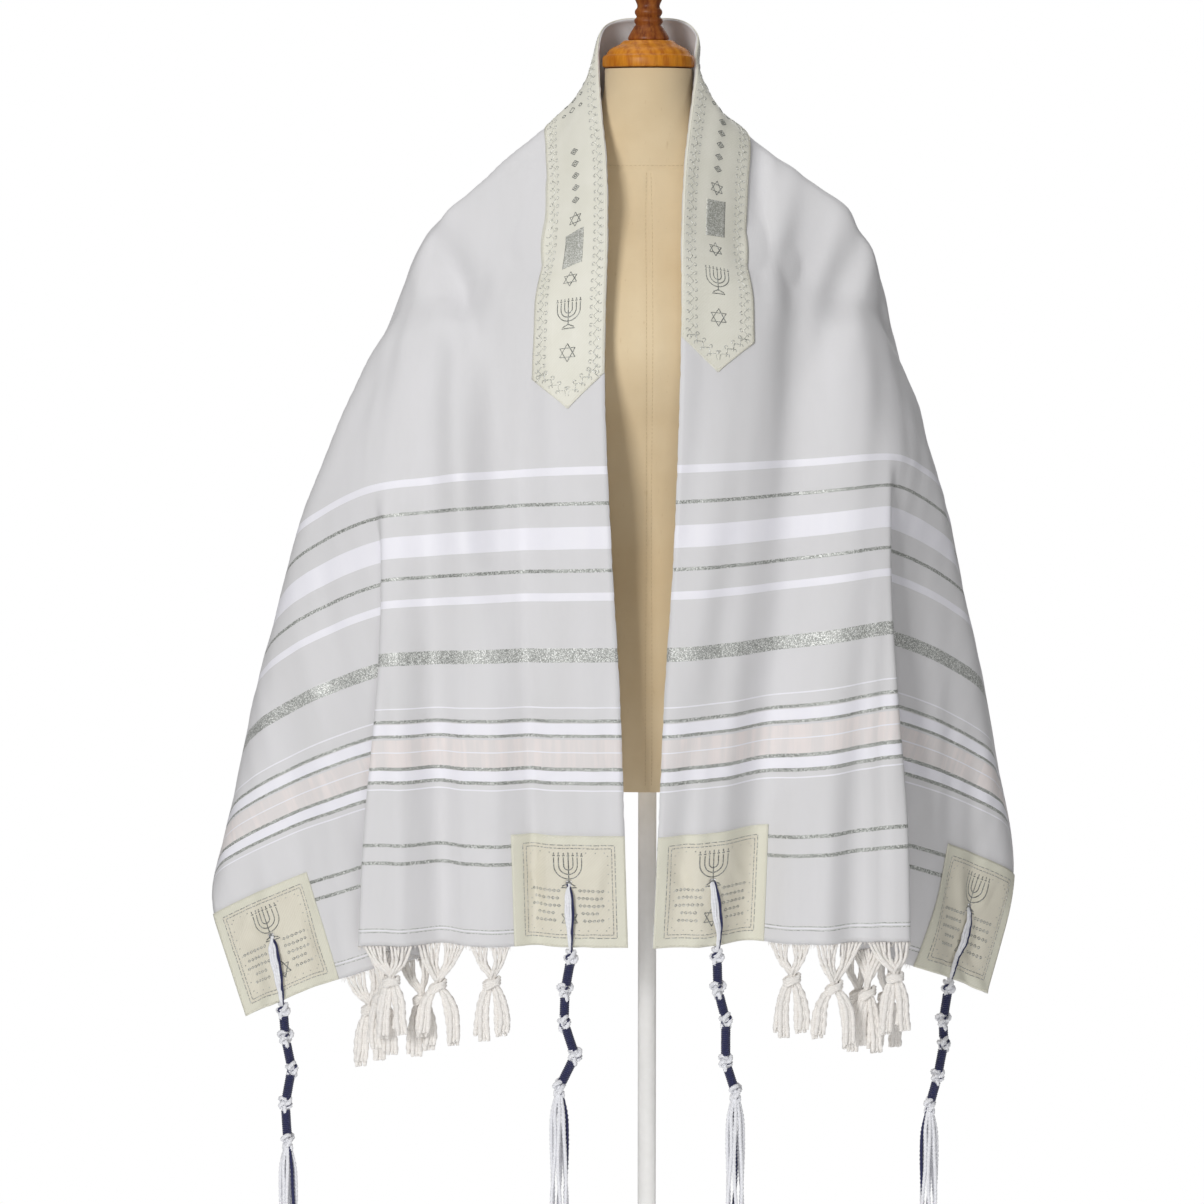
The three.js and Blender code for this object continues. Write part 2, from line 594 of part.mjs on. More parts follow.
// Groups of fringe along one hem: middle and half width on the hem, how far below it the knot
// hangs and how far it sways, and how far the tail below the knot fans out.
const FRINGE_GROUPS = [
  { v: 138, half: 20, drop: 33, sway: 2, fan: 12 },
  { v: 187, half: 24, drop: 42, sway: -5, fan: 18 },
  { v: 240, half: 25, drop: 33, sway: 3, fan: 10 },
  { v: 302, half: 22, drop: 44, sway: -4, fan: 9 },
  { v: 360, half: 22, drop: 38, sway: 4, fan: 9 },
  { v: 416, half: 22, drop: 37, sway: 2, fan: 11 },
];

// Even places from -1 to 1.
const spreadOf = (count) => Array.from({ length: count }, (_, i) => (i / (count - 1)) * 2 - 1);

// Rings of a fringe knot, above (minus) and below its middle, and of a tail as shares of its
// length, of its fan and of its radius.
const KNOT_RINGS = [
  { down: -7, radius: 2.4 }, { down: -2, radius: 6.5 }, { down: 3, radius: 6.5 }, { down: 8, radius: 3 },
];
const TAIL_RINGS = [
  { down: 0, fan: 0, depth: 0, thick: 0.8 },
  { down: 0.45, fan: 0.7, depth: 3, thick: 1 },
  { down: 1, fan: 1, depth: -4, thick: 0.6 },
];
const TAIL_LOSS = 0.12;
const SWAY_LOSS = 0.125;

function fringeGroup(sign, group) {
  const knot = pastHem(sign, group.v, FRINGE.root, 0).add(vec(group.sway, 0, -group.drop));
  const below = (distance) => knot.clone().add(vec(0, 0, -distance));
  const pieces = [tube(KNOT_RINGS.map((ring) => below(ring.down)), (k) => KNOT_RINGS[k].radius, 5)];
  for (const t of spreadOf(FRINGE.locks)) {
    const root = pastHem(sign, group.v + t * group.half, FRINGE.root, 0);
    pieces.push(tube([root, knot], () => FRINGE.lockRadius, 3));
  }
  for (const t of spreadOf(FRINGE.tails)) {
    const length = FRINGE.tail * (1 - TAIL_LOSS * Math.abs(t + group.sway * SWAY_LOSS));
    const path = TAIL_RINGS.map((ring) => below(length * ring.down)
      .add(vec(t * group.fan * ring.fan, t * ring.depth, 0)));
    pieces.push(tube(path, (k) => FRINGE.tailRadius * TAIL_RINGS[k].thick, 3));
  }
  return pieces;
}

function fringeShape(sign) {
  const [from, to] = [PATCH.across + SEAM, CLOTH.width - PATCH.across - SEAM];
  const columns = columnPlaces(sign * HALF_LENGTH).filter((v) => v > from + 1 && v < to - 1);
  const across = [from, ...columns, to];
  const ends = sign < 0 ? [SEAM + FRINGE.strip, SEAM] : [SEAM, SEAM + FRINGE.strip];
  const strip = (off) => ends.map((beyond) => across.map((v) => pastHem(sign, v, beyond, off)));
  const backing = wallBetween(strip(CLOTH.wall / 2), strip(-CLOTH.wall / 2));
  return joined([backing, ...FRINGE_GROUPS.flatMap((group) => fringeGroup(sign, group))]);
}

// Each tassel hangs from a hole in its patch: where its loop leaves the hem beside the hole, and
// the sway and drop of its five knots below the first one.
const TASSELS = {
  inner_left: { hemShift: 0, sway: [0, -6, -7, 4, -12], drop: [0, 34, 66, 100, 133] },
  far_left: { hemShift: 10, sway: [0, 2, 8, 1, 3], drop: [0, 29, 61, 98, 137] },
  inner_right: { hemShift: 8, sway: [0, 1, 9, 9, 19], drop: [0, 34, 65, 108, 139] },
  far_right: { hemShift: -4, sway: [0, -5, -4, -10, -18], drop: [0, 35, 59, 94, 125] },
};
const LOOP = { radius: 3.3, flat: 0.5, steps: 5, start: 0.35, clear: 0.6, hang: 11 };

// Rings of a tassel's knot above its middle, and of a loose strand as shares of its length.
const TASSEL_RINGS = [
  { up: 6.5, radius: TASSEL.winding }, { up: 2.5, radius: TASSEL.knot },
  { up: -2.5, radius: TASSEL.knot }, { up: -6.5, radius: TASSEL.winding },
];
const STRAND_RINGS = [
  { down: 0.01, reach: 1.6 }, { down: 0.08, reach: 5.2 }, { down: 0.5, reach: 8.5 }, { down: 1, reach: 12 },
];

// The loop: down the patch's face from the hole to the hem, and back up behind the cloth.
function loopShape(corner, row, top) {
  const away = CLOTH.wall / 2 + SEAM + LOOP.clear + LOOP.radius * LOOP.flat;
  const leg = (t, off) => {
    const u = HALF_LENGTH - PATCH.holeUp * (1 - t);
    return onFaces(corner.sign * u, holeV(corner) + row.hemShift * t, off);
  };
  const lastStep = LOOP.steps - 1 + LOOP.start;
  const steps = Array.from({ length: LOOP.steps }, (_, k) => (k + LOOP.start) / lastStep);
  const behind = steps.map((t) => leg(t, -away)).reverse();
  const before = steps.map((t) => leg(t, away + PATCH.wall + SEAM));
  const beside = (step) => onFaces(holeS(corner), holeV(corner) + step, 0);
  const width = beside(PATCH.hole).sub(beside(-PATCH.hole)).normalize();
  return tube([top, ...behind, leg(0, 0), ...before, top], () => LOOP.radius, 5, LOOP.flat, width);
}

function strandShape(start, index) {
  const angle = (index / TASSEL.strands) * 2 * Math.PI;
  const length = TASSEL.strandLength - STRAND_UNEVEN * ((index * 3) % 4);
  const path = STRAND_RINGS.map(({ down, reach }) => start.clone()
    .add(vec(Math.cos(angle) * reach, Math.sin(angle) * reach, -length * down)));
  return tube(path, () => TASSEL.strandRadius, 3);
}

function tasselShape(corner) {
  const row = TASSELS[corner.name];
  const top = pastHem(corner.sign, holeV(corner) + row.hemShift, 0, 0).add(vec(0, 0, -LOOP.hang));
  const knots = row.drop.map((drop, k) => top.clone().add(vec(row.sway[k], 0, -drop)));
  const rings = knots.flatMap((knot) => TASSEL_RINGS
    .map(({ up, radius }) => ({ at: knot.clone().add(vec(0, 0, up)), radius })));
  rings[0].radius = LOOP.radius;
  const core = tube(rings.map((ring) => ring.at), (k) => rings[k].radius, 5);
  const strands = Array.from({ length: TASSEL.strands }, (_, i) => strandShape(knots[knots.length - 1], i));
  return joined([loopShape(corner, row, top), core, ...strands]);
}

const TORSO_GRID = { levels: 20, sides: 28 };

function torsoShape() {
  const { levels, sides } = TORSO_GRID;
  const rings = [];
  for (let k = 0; k <= levels; k += 1) {
    const z = lerp(FORM_BOTTOM, NECK_TOP, k / levels);
    const section = torsoSection(z);
    rings.push(Array.from({ length: sides }, (_, i) => {
      const angle = (i / sides) * 2 * Math.PI;
      const reach = Math.sin(angle) < 0 ? section.front : section.back;
      return vec(Math.cos(angle) * section.half, section.middle + Math.sin(angle) * reach, z);
    }));
  }
  const positions = rings.flat().flatMap((p) => [p.x, p.y, p.z]);
  const triangles = [];
  for (let k = 0; k < levels; k += 1) {
    for (let i = 0; i < sides; i += 1) {
      const [a, b] = [k * sides + i, k * sides + (i + 1) % sides];
      triangles.push(a, b, b + sides, a, b + sides, a + sides);
    }
  }
  const top = levels * sides;
  for (let i = 1; i < sides - 1; i += 1) triangles.push(0, i + 1, i, top, top + i, top + i + 1);
  return solidFrom(positions, triangles);
}

add('shawl_cloth', clothShape(), COLOURS.cloth);
add('neckband', neckbandShape(), COLOURS.brocade);
for (const corner of CORNERS) add(`patch_${corner.name}`, patchShape(corner), COLOURS.brocade);
for (const corner of CORNERS) add(`tzitzit_${corner.name}`, tasselShape(corner), COLOURS.wool);
add('fringe_left', fringeShape(-1), COLOURS.fringe);
add('fringe_right', fringeShape(1), COLOURS.fringe);

add('dress_form', torsoShape(), COLOURS.jersey);
add('neck_cap', turned(CAP_PROFILE, CAP_BOTTOM, 24), COLOURS.paleWood);
add('finial', turned(FINIAL_PROFILE, FINIAL_BOTTOM, 16), COLOURS.darkWood);
add('stand_pole', cylinder(POLE_RADIUS, BASE.height + SEAM, FORM_BOTTOM - SEAM, 24), COLOURS.lacquer);
add('stand_base', cylinder(BASE.radius, 0, BASE.height, 40), COLOURS.lacquer);

export default shawl;
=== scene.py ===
"""A prayer shawl worn over a limbless dress form on a slim stand.

Metres, +Z up, the front towards -Y. The shawl is one woven rectangle, and a place on it has two
flat distances in millimetres: s along its length, 0 at the centre back and minus on the viewer's
left, and v across its width, 0 at the neck edge. Sizes in the tables are millimetres.
"""

import json
import math

import bmesh
import bpy
import numpy as np
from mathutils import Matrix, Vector

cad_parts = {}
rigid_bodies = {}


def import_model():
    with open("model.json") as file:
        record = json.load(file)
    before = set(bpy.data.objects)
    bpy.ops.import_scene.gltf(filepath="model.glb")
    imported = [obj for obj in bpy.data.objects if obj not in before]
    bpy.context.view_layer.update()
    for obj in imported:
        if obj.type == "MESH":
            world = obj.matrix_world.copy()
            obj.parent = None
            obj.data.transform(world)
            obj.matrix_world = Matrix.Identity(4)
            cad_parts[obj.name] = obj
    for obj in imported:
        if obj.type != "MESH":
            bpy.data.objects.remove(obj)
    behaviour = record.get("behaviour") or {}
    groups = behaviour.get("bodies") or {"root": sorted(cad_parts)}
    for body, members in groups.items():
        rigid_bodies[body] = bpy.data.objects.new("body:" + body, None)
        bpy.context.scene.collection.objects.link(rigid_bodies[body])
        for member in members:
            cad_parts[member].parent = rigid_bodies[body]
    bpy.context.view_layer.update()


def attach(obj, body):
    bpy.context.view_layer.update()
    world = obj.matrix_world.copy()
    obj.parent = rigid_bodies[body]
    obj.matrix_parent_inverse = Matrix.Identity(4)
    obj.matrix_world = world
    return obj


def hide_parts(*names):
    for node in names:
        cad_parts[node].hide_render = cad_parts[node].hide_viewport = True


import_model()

# ---------------------------------------------------------------- driving sizes

MM = 0.001
HALF_LENGTH = 1017
CLOTH_WIDTH = 560
CLOTH_WALL = 1.3
# The neckband ends so far down each front, and its point reaches further.
NECKBAND = {"width": 76, "left": 448, "right": 414, "point": 33}
# A patch's hole for its tassel is so far above the hem.
PATCH = {"along": 112, "across": 114, "hole": 5.2, "hole_up": 64}
# Half the square that a patch's silver lines frame.
PATCH_FRAME = 46.5
SEAM = 0.3
# The brocade lies one seam outside the cloth. Its middle and top are counted from the cloth's
# middle.
CLOTH_OUTSIDE = 0.8
BROCADE_WALL = 0.9
BROCADE_MIDDLE = CLOTH_OUTSIDE + SEAM + BROCADE_WALL / 2
BROCADE_TOP = BROCADE_MIDDLE + BROCADE_WALL / 2
# Each corner: -1 on the left front or 1 on the right, and whether it is far from the neck edge.
CORNERS = {
    "inner_left": (-1, False), "far_left": (-1, True),
    "inner_right": (1, False), "far_right": (1, True),
}
UP = np.array([0.0, 0.0, 1.0])

# ---------------------------------------------------------------- camera and light

CAMERA_TARGET = Vector((-0.047, 0, 0.904))
CAMERA_DISTANCE = 3.6
CAMERA_ELEVATION = math.radians(7)
CAMERA_LENS = 104.5
SENSOR_WIDTH = 36
ROOM_LIGHT = 0.2
BACKDROP_LIGHT = 1.0
LIGHT_AIM = (0, 0, 1.0)
# Each softbox: place, width and height, watts.
SOFTBOXES = {
    "key_softbox": ((-1.4, -2.95, 1.95), (0.8, 1.0), 60),
    "front_softbox": ((0.25, -3.3, 0.75), (0.9, 1.2), 13),
    "fill_softbox": ((2.8, -2.2, 1.6), (1.6, 2.0), 9),
    "top_softbox": ((-0.3, 0.2, 3.4), (1.8, 1.6), 16),
    "back_softbox": ((0.6, 3.2, 2.2), (2.4, 2.0), 30),
}


def add_camera():
    data = bpy.data.cameras.new("camera")
    data.lens = CAMERA_LENS
    data.sensor_width = SENSOR_WIDTH
    camera = bpy.data.objects.new("camera", data)
    back = Vector((0, -math.cos(CAMERA_ELEVATION), math.sin(CAMERA_ELEVATION)))
    camera.location = CAMERA_TARGET + back * CAMERA_DISTANCE
    camera.rotation_euler = (-back).to_track_quat("-Z", "Y").to_euler()
    bpy.context.scene.collection.objects.link(camera)
    bpy.context.scene.camera = camera


def add_softbox(name, place, size, watts):
    data = bpy.data.lights.new(name, "AREA")
    data.shape = "RECTANGLE"
    data.size, data.size_y = size
    data.energy = watts
    lamp = bpy.data.objects.new(name, data)
    lamp.location = place
    lamp.rotation_euler = (Vector(LIGHT_AIM) - Vector(place)).to_track_quat("-Z", "Y").to_euler()
    bpy.context.scene.collection.objects.link(lamp)


def add_studio():
    for name, (place, size, watts) in SOFTBOXES.items():
        add_softbox(name, place, size, watts)
    world = bpy.data.worlds.new("studio")
    world.use_nodes = True
    tree = world.node_tree
    seen = tree.nodes.new("ShaderNodeLightPath").outputs["Is Camera Ray"]
    strength = tree.nodes.new("ShaderNodeMapRange")
    strength.inputs["To Min"].default_value = ROOM_LIGHT
    strength.inputs["To Max"].default_value = BACKDROP_LIGHT
    tree.links.new(seen, strength.inputs["Value"])
    background = tree.nodes["Background"]
    background.inputs["Color"].default_value = (1, 1, 1, 1)
    tree.links.new(strength.outputs["Result"], background.inputs["Strength"])
    bpy.context.scene.world = world
    bpy.context.scene.view_settings.view_transform = "Standard"


# ---------------------------------------------------------------- finishes

# Pitch of the threads and ribs, in metres.
WARP_PITCH = 0.0011
WEFT_PITCH = 0.0010
BROCADE_RIBS = 0.0009
BROCADE_TWILL = 0.0016
JERSEY_RIBS = 0.0012
# The pitch, in metres, of a wave texture of scale 1.
WAVE_UNIT = 2 * math.pi / 20


class Finish:
    """A procedural material: its shader, and short ways to add and join nodes."""

    def __init__(self, name, **sockets):
        self.material = bpy.data.materials.new(name)
        self.material.use_nodes = True
        self.tree = self.material.node_tree
        self.shader = self.tree.nodes["Principled BSDF"]
        for socket, value in sockets.items():
            name = socket.replace("_", " ").title().replace("Ior", "IOR")
            self.shader.inputs[name].default_value = value

    def add(self, kind, values=None, **settings):
        node = self.tree.nodes.new("ShaderNode" + kind)
        for key, value in settings.items():
            setattr(node, key, value)
        for key, value in (values or {}).items():
            if isinstance(value, bpy.types.NodeSocket):
                self.tree.links.new(value, node.inputs[key])
            else:
                node.inputs[key].default_value = value
        return node

    def math(self, operation, *values):
        return self.add("Math", dict(enumerate(values)), operation=operation).outputs[0]

    def mix(self, share, first, second):
        node = self.add("Mix", data_type="RGBA")
        sockets = [s for s in node.inputs if s.enabled]
        for socket, value in zip(sockets, (share, first, second)):
            if isinstance(value, bpy.types.NodeSocket):
                self.tree.links.new(value, socket)
            else:
                socket.default_value = value
        return next(s for s in node.outputs if s.enabled)

    def flat(self, scale=(1, 1, 1)):
        place = self.add("UVMap", uv_map="flat").outputs["UV"]
        return self.add("Mapping", {"Vector": place, "Scale": scale}).outputs[0]

    def object(self, scale=(1, 1, 1)):
        place = self.add("TexCoord").outputs["Object"]
        return self.add("Mapping", {"Vector": place, "Scale": scale}).outputs[0]

    def noise(self, place, scale, detail=3):
        values = {"Vector": place, "Scale": scale, "Detail": detail, "Roughness": 0.55}
        return self.add("TexNoise", values).outputs["Fac"]

    def waves(self, place, pitch, direction="X", warp=0.0):
        """Bands `pitch` metres apart, as threads are."""
        values = {"Vector": place, "Scale": WAVE_UNIT / pitch, "Distortion": warp}
        return self.add("TexWave", values, bands_direction=direction).outputs["Fac"]

    def range(self, value, low, high, to_low=0.0, to_high=1.0):
        values = {0: value, 1: low, 2: high, 3: to_low, 4: to_high}
        return self.add("MapRange", values).outputs[0]

    def colour(self, value):
        self.tree.links.new(value, self.shader.inputs["Base Color"])

    def drive(self, socket, value):
        self.tree.links.new(value, self.shader.inputs[socket])

    def bump(self, height, depth, strength=1.0):
        """Raises the surface by the height pattern, `depth` millimetres at most."""
        values = {"Height": height, "Distance": depth * MM, "Strength": strength}
        self.drive("Normal", self.add("Bump", values).outputs[0])


def shade(hex_code):
    """Linear colour, with alpha, of a colour written as on a swatch."""
    parts = [int(hex_code[i:i + 2], 16) / 255 for i in (0, 2, 4)]
    return tuple(c / 12.92 if c <= 0.04045 else ((c + 0.055) / 1.055) ** 2.4 for c in parts) + (1.0,)


# Stripes across the cloth: from and to, in millimetres from the centre back on either half.
WHITE_STRIPES = (
    (539, 547), (598, 620), (663, 671), (776.4, 777.8), (793, 804), (821.4, 822.6), (840.5, 851),
    (859.4, 860.8), (1001.6, 1002.3),
)
SILVER_STRIPES = (
    (573.5, 577), (639.5, 643), (718, 732), (788.8, 792), (804, 807), (837, 840.5), (851, 854.5),
    (915, 918.5), (933, 936.5), (1000, 1000.7), (1003.6, 1004.3),
)
WIDE_SILVER = ((718, 732),)
SLUB_BAND = ((809, 837),)


def cloth_finish():
    f = Finish("woven_cloth", roughness=0.72, sheen_weight=0.35, sheen_roughness=0.4)
    place = f.flat()
    parts = f.add("SeparateXYZ", {0: place})
    along = f.math("MULTIPLY", f.math("ABSOLUTE", parts.outputs["X"]), 1000.0)
    ragged = f.math("MULTIPLY", f.math("SUBTRACT", f.noise(place, 900, 2), 0.5), 1.4)
    frayed = f.math("ADD", along, ragged)

    def bands(table, distance):
        found = None
        for start, end in table:
            one = f.math("COMPARE", distance, (start + end) / 2, (end - start) / 2)
            found = one if found is None else f.math("MAXIMUM", found, one)
        return found

    white = bands(WHITE_STRIPES, along)
    silver = bands(SILVER_STRIPES, frayed)
    wide = bands(WIDE_SILVER, frayed)
    slub = bands(SLUB_BAND, along)
    warp = f.waves(place, WARP_PITCH, "Y")
    weft = f.waves(place, WEFT_PITCH, "X")
    weave = f.math("MULTIPLY", warp, weft)
    cloudy = f.noise(f.flat((3, 14, 1)), 1.0, 4)
    ground = f.mix(f.range(cloudy, 0.3, 0.7), shade("D9D8D9"), shade("E1E0E2"))
    ground = f.mix(f.math("MULTIPLY", weave, 0.22), ground, shade("F2F1F3"))
    streaks = f.noise(f.flat((9, 120, 1)), 1.0, 3)
    slub_shade = f.mix(f.range(streaks, 0.42, 0.62), shade("E5E0DF"), shade("EEE6E4"))
    colour = f.mix(slub, ground, slub_shade)
    satin = f.mix(f.noise(f.flat((4, 60, 1)), 1.0, 2), shade("F1F0F8"), shade("F8F7FC"))
    colour = f.mix(white, colour, satin)
    # Painted glints: bright Voronoi cells mixed into the silver stripes' grey colour stand in for the
    # sparkle of the lurex.
    flecks = f.add("TexVoronoi", {"Vector": place, "Scale": 1500.0}).outputs["Color"]
    fleck = f.add("SeparateXYZ", {0: flecks}).outputs["X"]
    thin_lurex_with_glints = f.mix(f.range(fleck, 0.4, 0.95), shade("8F928D"), shade("ECEDEA"))
    wide_lurex_with_glints = f.mix(f.range(fleck, 0.35, 0.9), shade("999B97"), shade("F5F6F3"))
    lurex_with_glints = f.mix(wide, thin_lurex_with_glints, wide_lurex_with_glints)
    colour = f.mix(silver, colour, lurex_with_glints)
    f.colour(colour)
    f.drive("Metallic", f.math("MULTIPLY", silver, 0.3))
    matt = f.math("SUBTRACT", 0.74, f.math("MULTIPLY", white, 0.22))
    f.drive("Roughness", f.math("SUBTRACT", matt, f.math("MULTIPLY", silver, 0.34)))
    height = f.math("ADD", weave, f.math("MULTIPLY", silver, f.math("MULTIPLY", fleck, 2.0)))
    height = f.math("ADD", height, f.math("MULTIPLY", slub, f.math("MULTIPLY", streaks, 2.0)))
    f.bump(height, 0.16, 0.5)
    return f.material


def from_patch_middle(f, place):
    """The greater of the two flat distances from the middle of the nearest patch, in metres."""
    parts = f.add("SeparateXYZ", {0: place})
    middle_u = (HALF_LENGTH - PATCH["along"] / 2) * MM
    middle_v = (CLOTH_WIDTH / 2 - PATCH["across"] / 2) * MM
    reach = []
    for key, middle, half in (("X", middle_u, 0.0), ("Y", middle_v, CLOTH_WIDTH / 2 * MM)):
        from_centre = f.math("ABSOLUTE", f.math("SUBTRACT", parts.outputs[key], half))
        reach.append(f.math("ABSOLUTE", f.math("SUBTRACT", from_centre, middle)))
    return f.math("MAXIMUM", *reach)


def brocade_finish(name, ground, light, border=None):
    """Figured silk. `border` is the shade of a patch outside its silver lines."""
    f = Finish(name, roughness=0.55, sheen_weight=0.25, sheen_roughness=0.35)
    place = f.flat()
    cloudy = f.range(f.noise(place, 26, 4), 0.3, 0.7)
    ribs = f.waves(place, BROCADE_RIBS, "X")
    twill = f.waves(place, BROCADE_TWILL, "DIAGONAL", 0.6)
    colour = f.mix(cloudy, shade(ground), shade(light))
    if border:
        frame_edge = PATCH_FRAME * MM
        outside = f.range(from_patch_middle(f, place), frame_edge - 0.001, frame_edge + 0.0015)
        colour = f.mix(outside, colour, shade(border))
    colour = f.mix(f.math("MULTIPLY", twill, 0.18), colour, shade("F3F1E6"))
    f.colour(colour)
    f.bump(f.math("ADD", ribs, twill), 0.12, 0.5)
    return f.material


def thread_finish(name, dark, light, metal, roughness):
    f = Finish(name, roughness=roughness, metallic=metal)
    # On the silver threads the pale flecks in the colour are painted glints of the metal; on the cream
    # and seam threads they are a random tone.
    flecks = f.add("TexVoronoi", {"Vector": f.object(), "Scale": 1400.0}).outputs["Color"]
    fleck = f.add("SeparateXYZ", {0: flecks}).outputs["X"]
    f.colour(f.mix(f.range(fleck, 0.35, 0.9), shade(dark), shade(light)))
    f.bump(fleck, 0.15, 0.6)
    return f.material


def wool_finish(name, dark, light):
    """Spun yarn: fine fibres along it and a soft fuzz."""
    f = Finish(name, roughness=0.9, sheen_weight=0.4, sheen_roughness=0.5)
    fibres = f.noise(f.flat((60, 2, 1)), 8.0, 4)
    fuzz = f.noise(f.object(), 1500, 3)
    both = f.math("ADD", f.math("MULTIPLY", fibres, 0.6), f.math("MULTIPLY", fuzz, 0.4))
    f.colour(f.mix(f.range(both, 0.35, 0.65), shade(dark), shade(light)))
    f.bump(both, 0.25, 0.6)
    return f.material


def jersey_finish():
    f = Finish("linen_jersey", roughness=0.85, sheen_weight=0.2, sheen_roughness=0.5)
    ribs = f.waves(f.object(), JERSEY_RIBS, "Z", 0.4)
    wales = f.noise(f.object((900, 900, 220)), 1.0, 2)
    cloudy = f.noise(f.object(), 9, 4)
    colour = f.mix(f.range(cloudy, 0.3, 0.7), shade("DCC49C"), shade("E8D4B0"))
    specks = f.range(f.noise(f.object((260, 260, 60)), 1.0, 3), 0.66, 0.8, 0.0, 0.35)
    colour = f.mix(specks, colour, shade("C2A373"))
    f.colour(colour)
    f.bump(f.math("ADD", ribs, wales), 0.1, 0.45)
    return f.material


def wood_finish(name, dark, middle, light, coat):
    f = Finish(name, roughness=0.48, coat_weight=coat, coat_roughness=0.25, ior=1.35)
    rings = f.waves(f.object((1, 0.35, 0.18)), 0.006, "DIAGONAL", 5.0)
    grain = f.noise(f.object((90, 90, 12)), 4.0, 5)
    colour = f.mix(f.range(rings, 0.1, 0.9), shade(dark), shade(middle))
    colour = f.mix(f.range(grain, 0.42, 0.7, 0.0, 0.7), colour, shade(light))
    f.colour(colour)
    f.bump(grain, 0.05, 0.3)
    return f.material


def lacquer_finish():
    f = Finish("pale_lacquer", roughness=0.35, coat_weight=0.2, coat_roughness=0.15)
    mottle = f.noise(f.object(), 60, 4)
    f.colour(f.mix(f.range(mottle, 0.3, 0.7), shade("F4F3F0"), shade("FBFAF8")))
    f.drive("Roughness", f.range(f.noise(f.object(), 220, 2), 0.3, 0.7, 0.3, 0.42))
    f.bump(f.noise(f.object(), 900, 2), 0.03, 0.3)
    return f.material


# ---------------------------------------------------------------- how the cloth hangs

# The neck edge from the centre back round the neck and down each front.
NECK_EDGE = {
    "left": (0, 26, 44, 50, 48, 42, 41, 43, 44, 37, 29, 21),
    "right": (0, 28, 46, 50, 43, 35, 31, 31, 29, 23, 14, 3),
    "y": (63, 57, 38, 10, -28, -64, -105, -131, -150, -156, -158, -160),
    "z": (1499, 1498, 1490, 1473, 1415, 1352, 1277, 1215, 1125, 965, 826, 577),
}

# Sections across the cloth, u from the centre back: the front, a Z pleat, the side and the back.
# Turns are seen from above, 0 outwards and 90 backwards. Drops are below level, in degrees.
SECTIONS = {
    "u": (0, 83, 150, 228, 320, 460, 540, 665, 780, 905, 1017),
    "front": (45, 45, 96, 190, 230, 220, 232, 236, 247, 263, 272),
    "front_turn": (90, 56, 20, 10, 18, 14, 11, 7, 4, 3, 2),
    "front_drop": (69, 67, 28, 10, 15, 8, 5, 3, 1, 0, 0),
    "pleat": (0, 0, 0, 0, 0, 0, 0, 14, 35, 57, 74),
    "side": (155, 155, 106, 110, 90, 89, 122, 172, 207, 262, 280),
    "side_turn": (90, 79, 60, 70, 66, 33, 33, 21, 16, 16, 17),
    "side_drop": (70, 59, 48, 60, 45, 27, 27, 26, 24, 22, 23),
    "back_turn": (90, 100, 106, 113, 112, 96, 93, 88, 84, 84, 84),
    "back_drop": (80, 78, 77, 74, 70, 57, 49, 46, 40, 40, 40),
}
RIGHT_CHANGES = {
    "u": (0, 150, 240, 330, 430, 560, 780, 905, 1017),
    "front": (0, 0, -6, -10, -8, -12, -10, -10, -11),
    "front_turn": (0, -8, -7, -1, 0, 0, 0, 0, 0),
    "front_drop": (0, 0, 0, 1, -2, -8, -8, -5, -1),
    "side_turn": (0, -8, -6, 6, 12, 18, 20, 21, 22),
    "side_drop": (0, 0, 2, 3, 0, -1, -1, -2, -2),
}
# The neckband's stretch stands up round the neck: what is added to its turn and drop there.
COLLAR = {
    "u": (0, 83, 150, 228, 300, 360, 400, 1017),
    "turn": (0, 0, 18, 24, 12, 0, 0, 0),
    "drop": (0, 0, 6, 12, 8, 0, 0, 0),
}
COLLAR_BEND = 44
PLEAT_TURN = 170
PLEAT_DROP = 12
PLEAT_BEND = 15
FRONT_BEND = 60
CREST_BEND = 110
FRONT_SAG = 0.6
SIDE_SAG = 0.4
FORM_GAP = 3.4

# Folds: side (-1 left, 1 right, 0 both), from u and v, to u and v, half width and height. Those
# that end on the cloth die away again. A height below 0 is a trough.
FOLDS = (
    (-1, 470, 98, 1120, 92, 32, -8), (-1, 440, 176, 1120, 198, 36, -9),
    (-1, 215, 222, 450, 100, 38, -12), (-1, 350, 118, 760, 110, 40, -12),
    (1, 470, 106, 1120, 96, 36, -10), (1, 500, 174, 1120, 204, 30, -7),
    (1, 130, 156, 720, 96, 42, -15), (1, 260, 196, 640, 172, 36, 6),
    (0, 130, 190, 90, 640, 58, -20), (0, 190, 240, 180, 640, 46, 24),
    (0, 250, 270, 300, 640, 52, -26), (0, 330, 320, 430, 640, 50, 22),
    (0, 420, 360, 560, 650, 50, -20), (0, 560, 430, 720, 640, 44, 14),
)
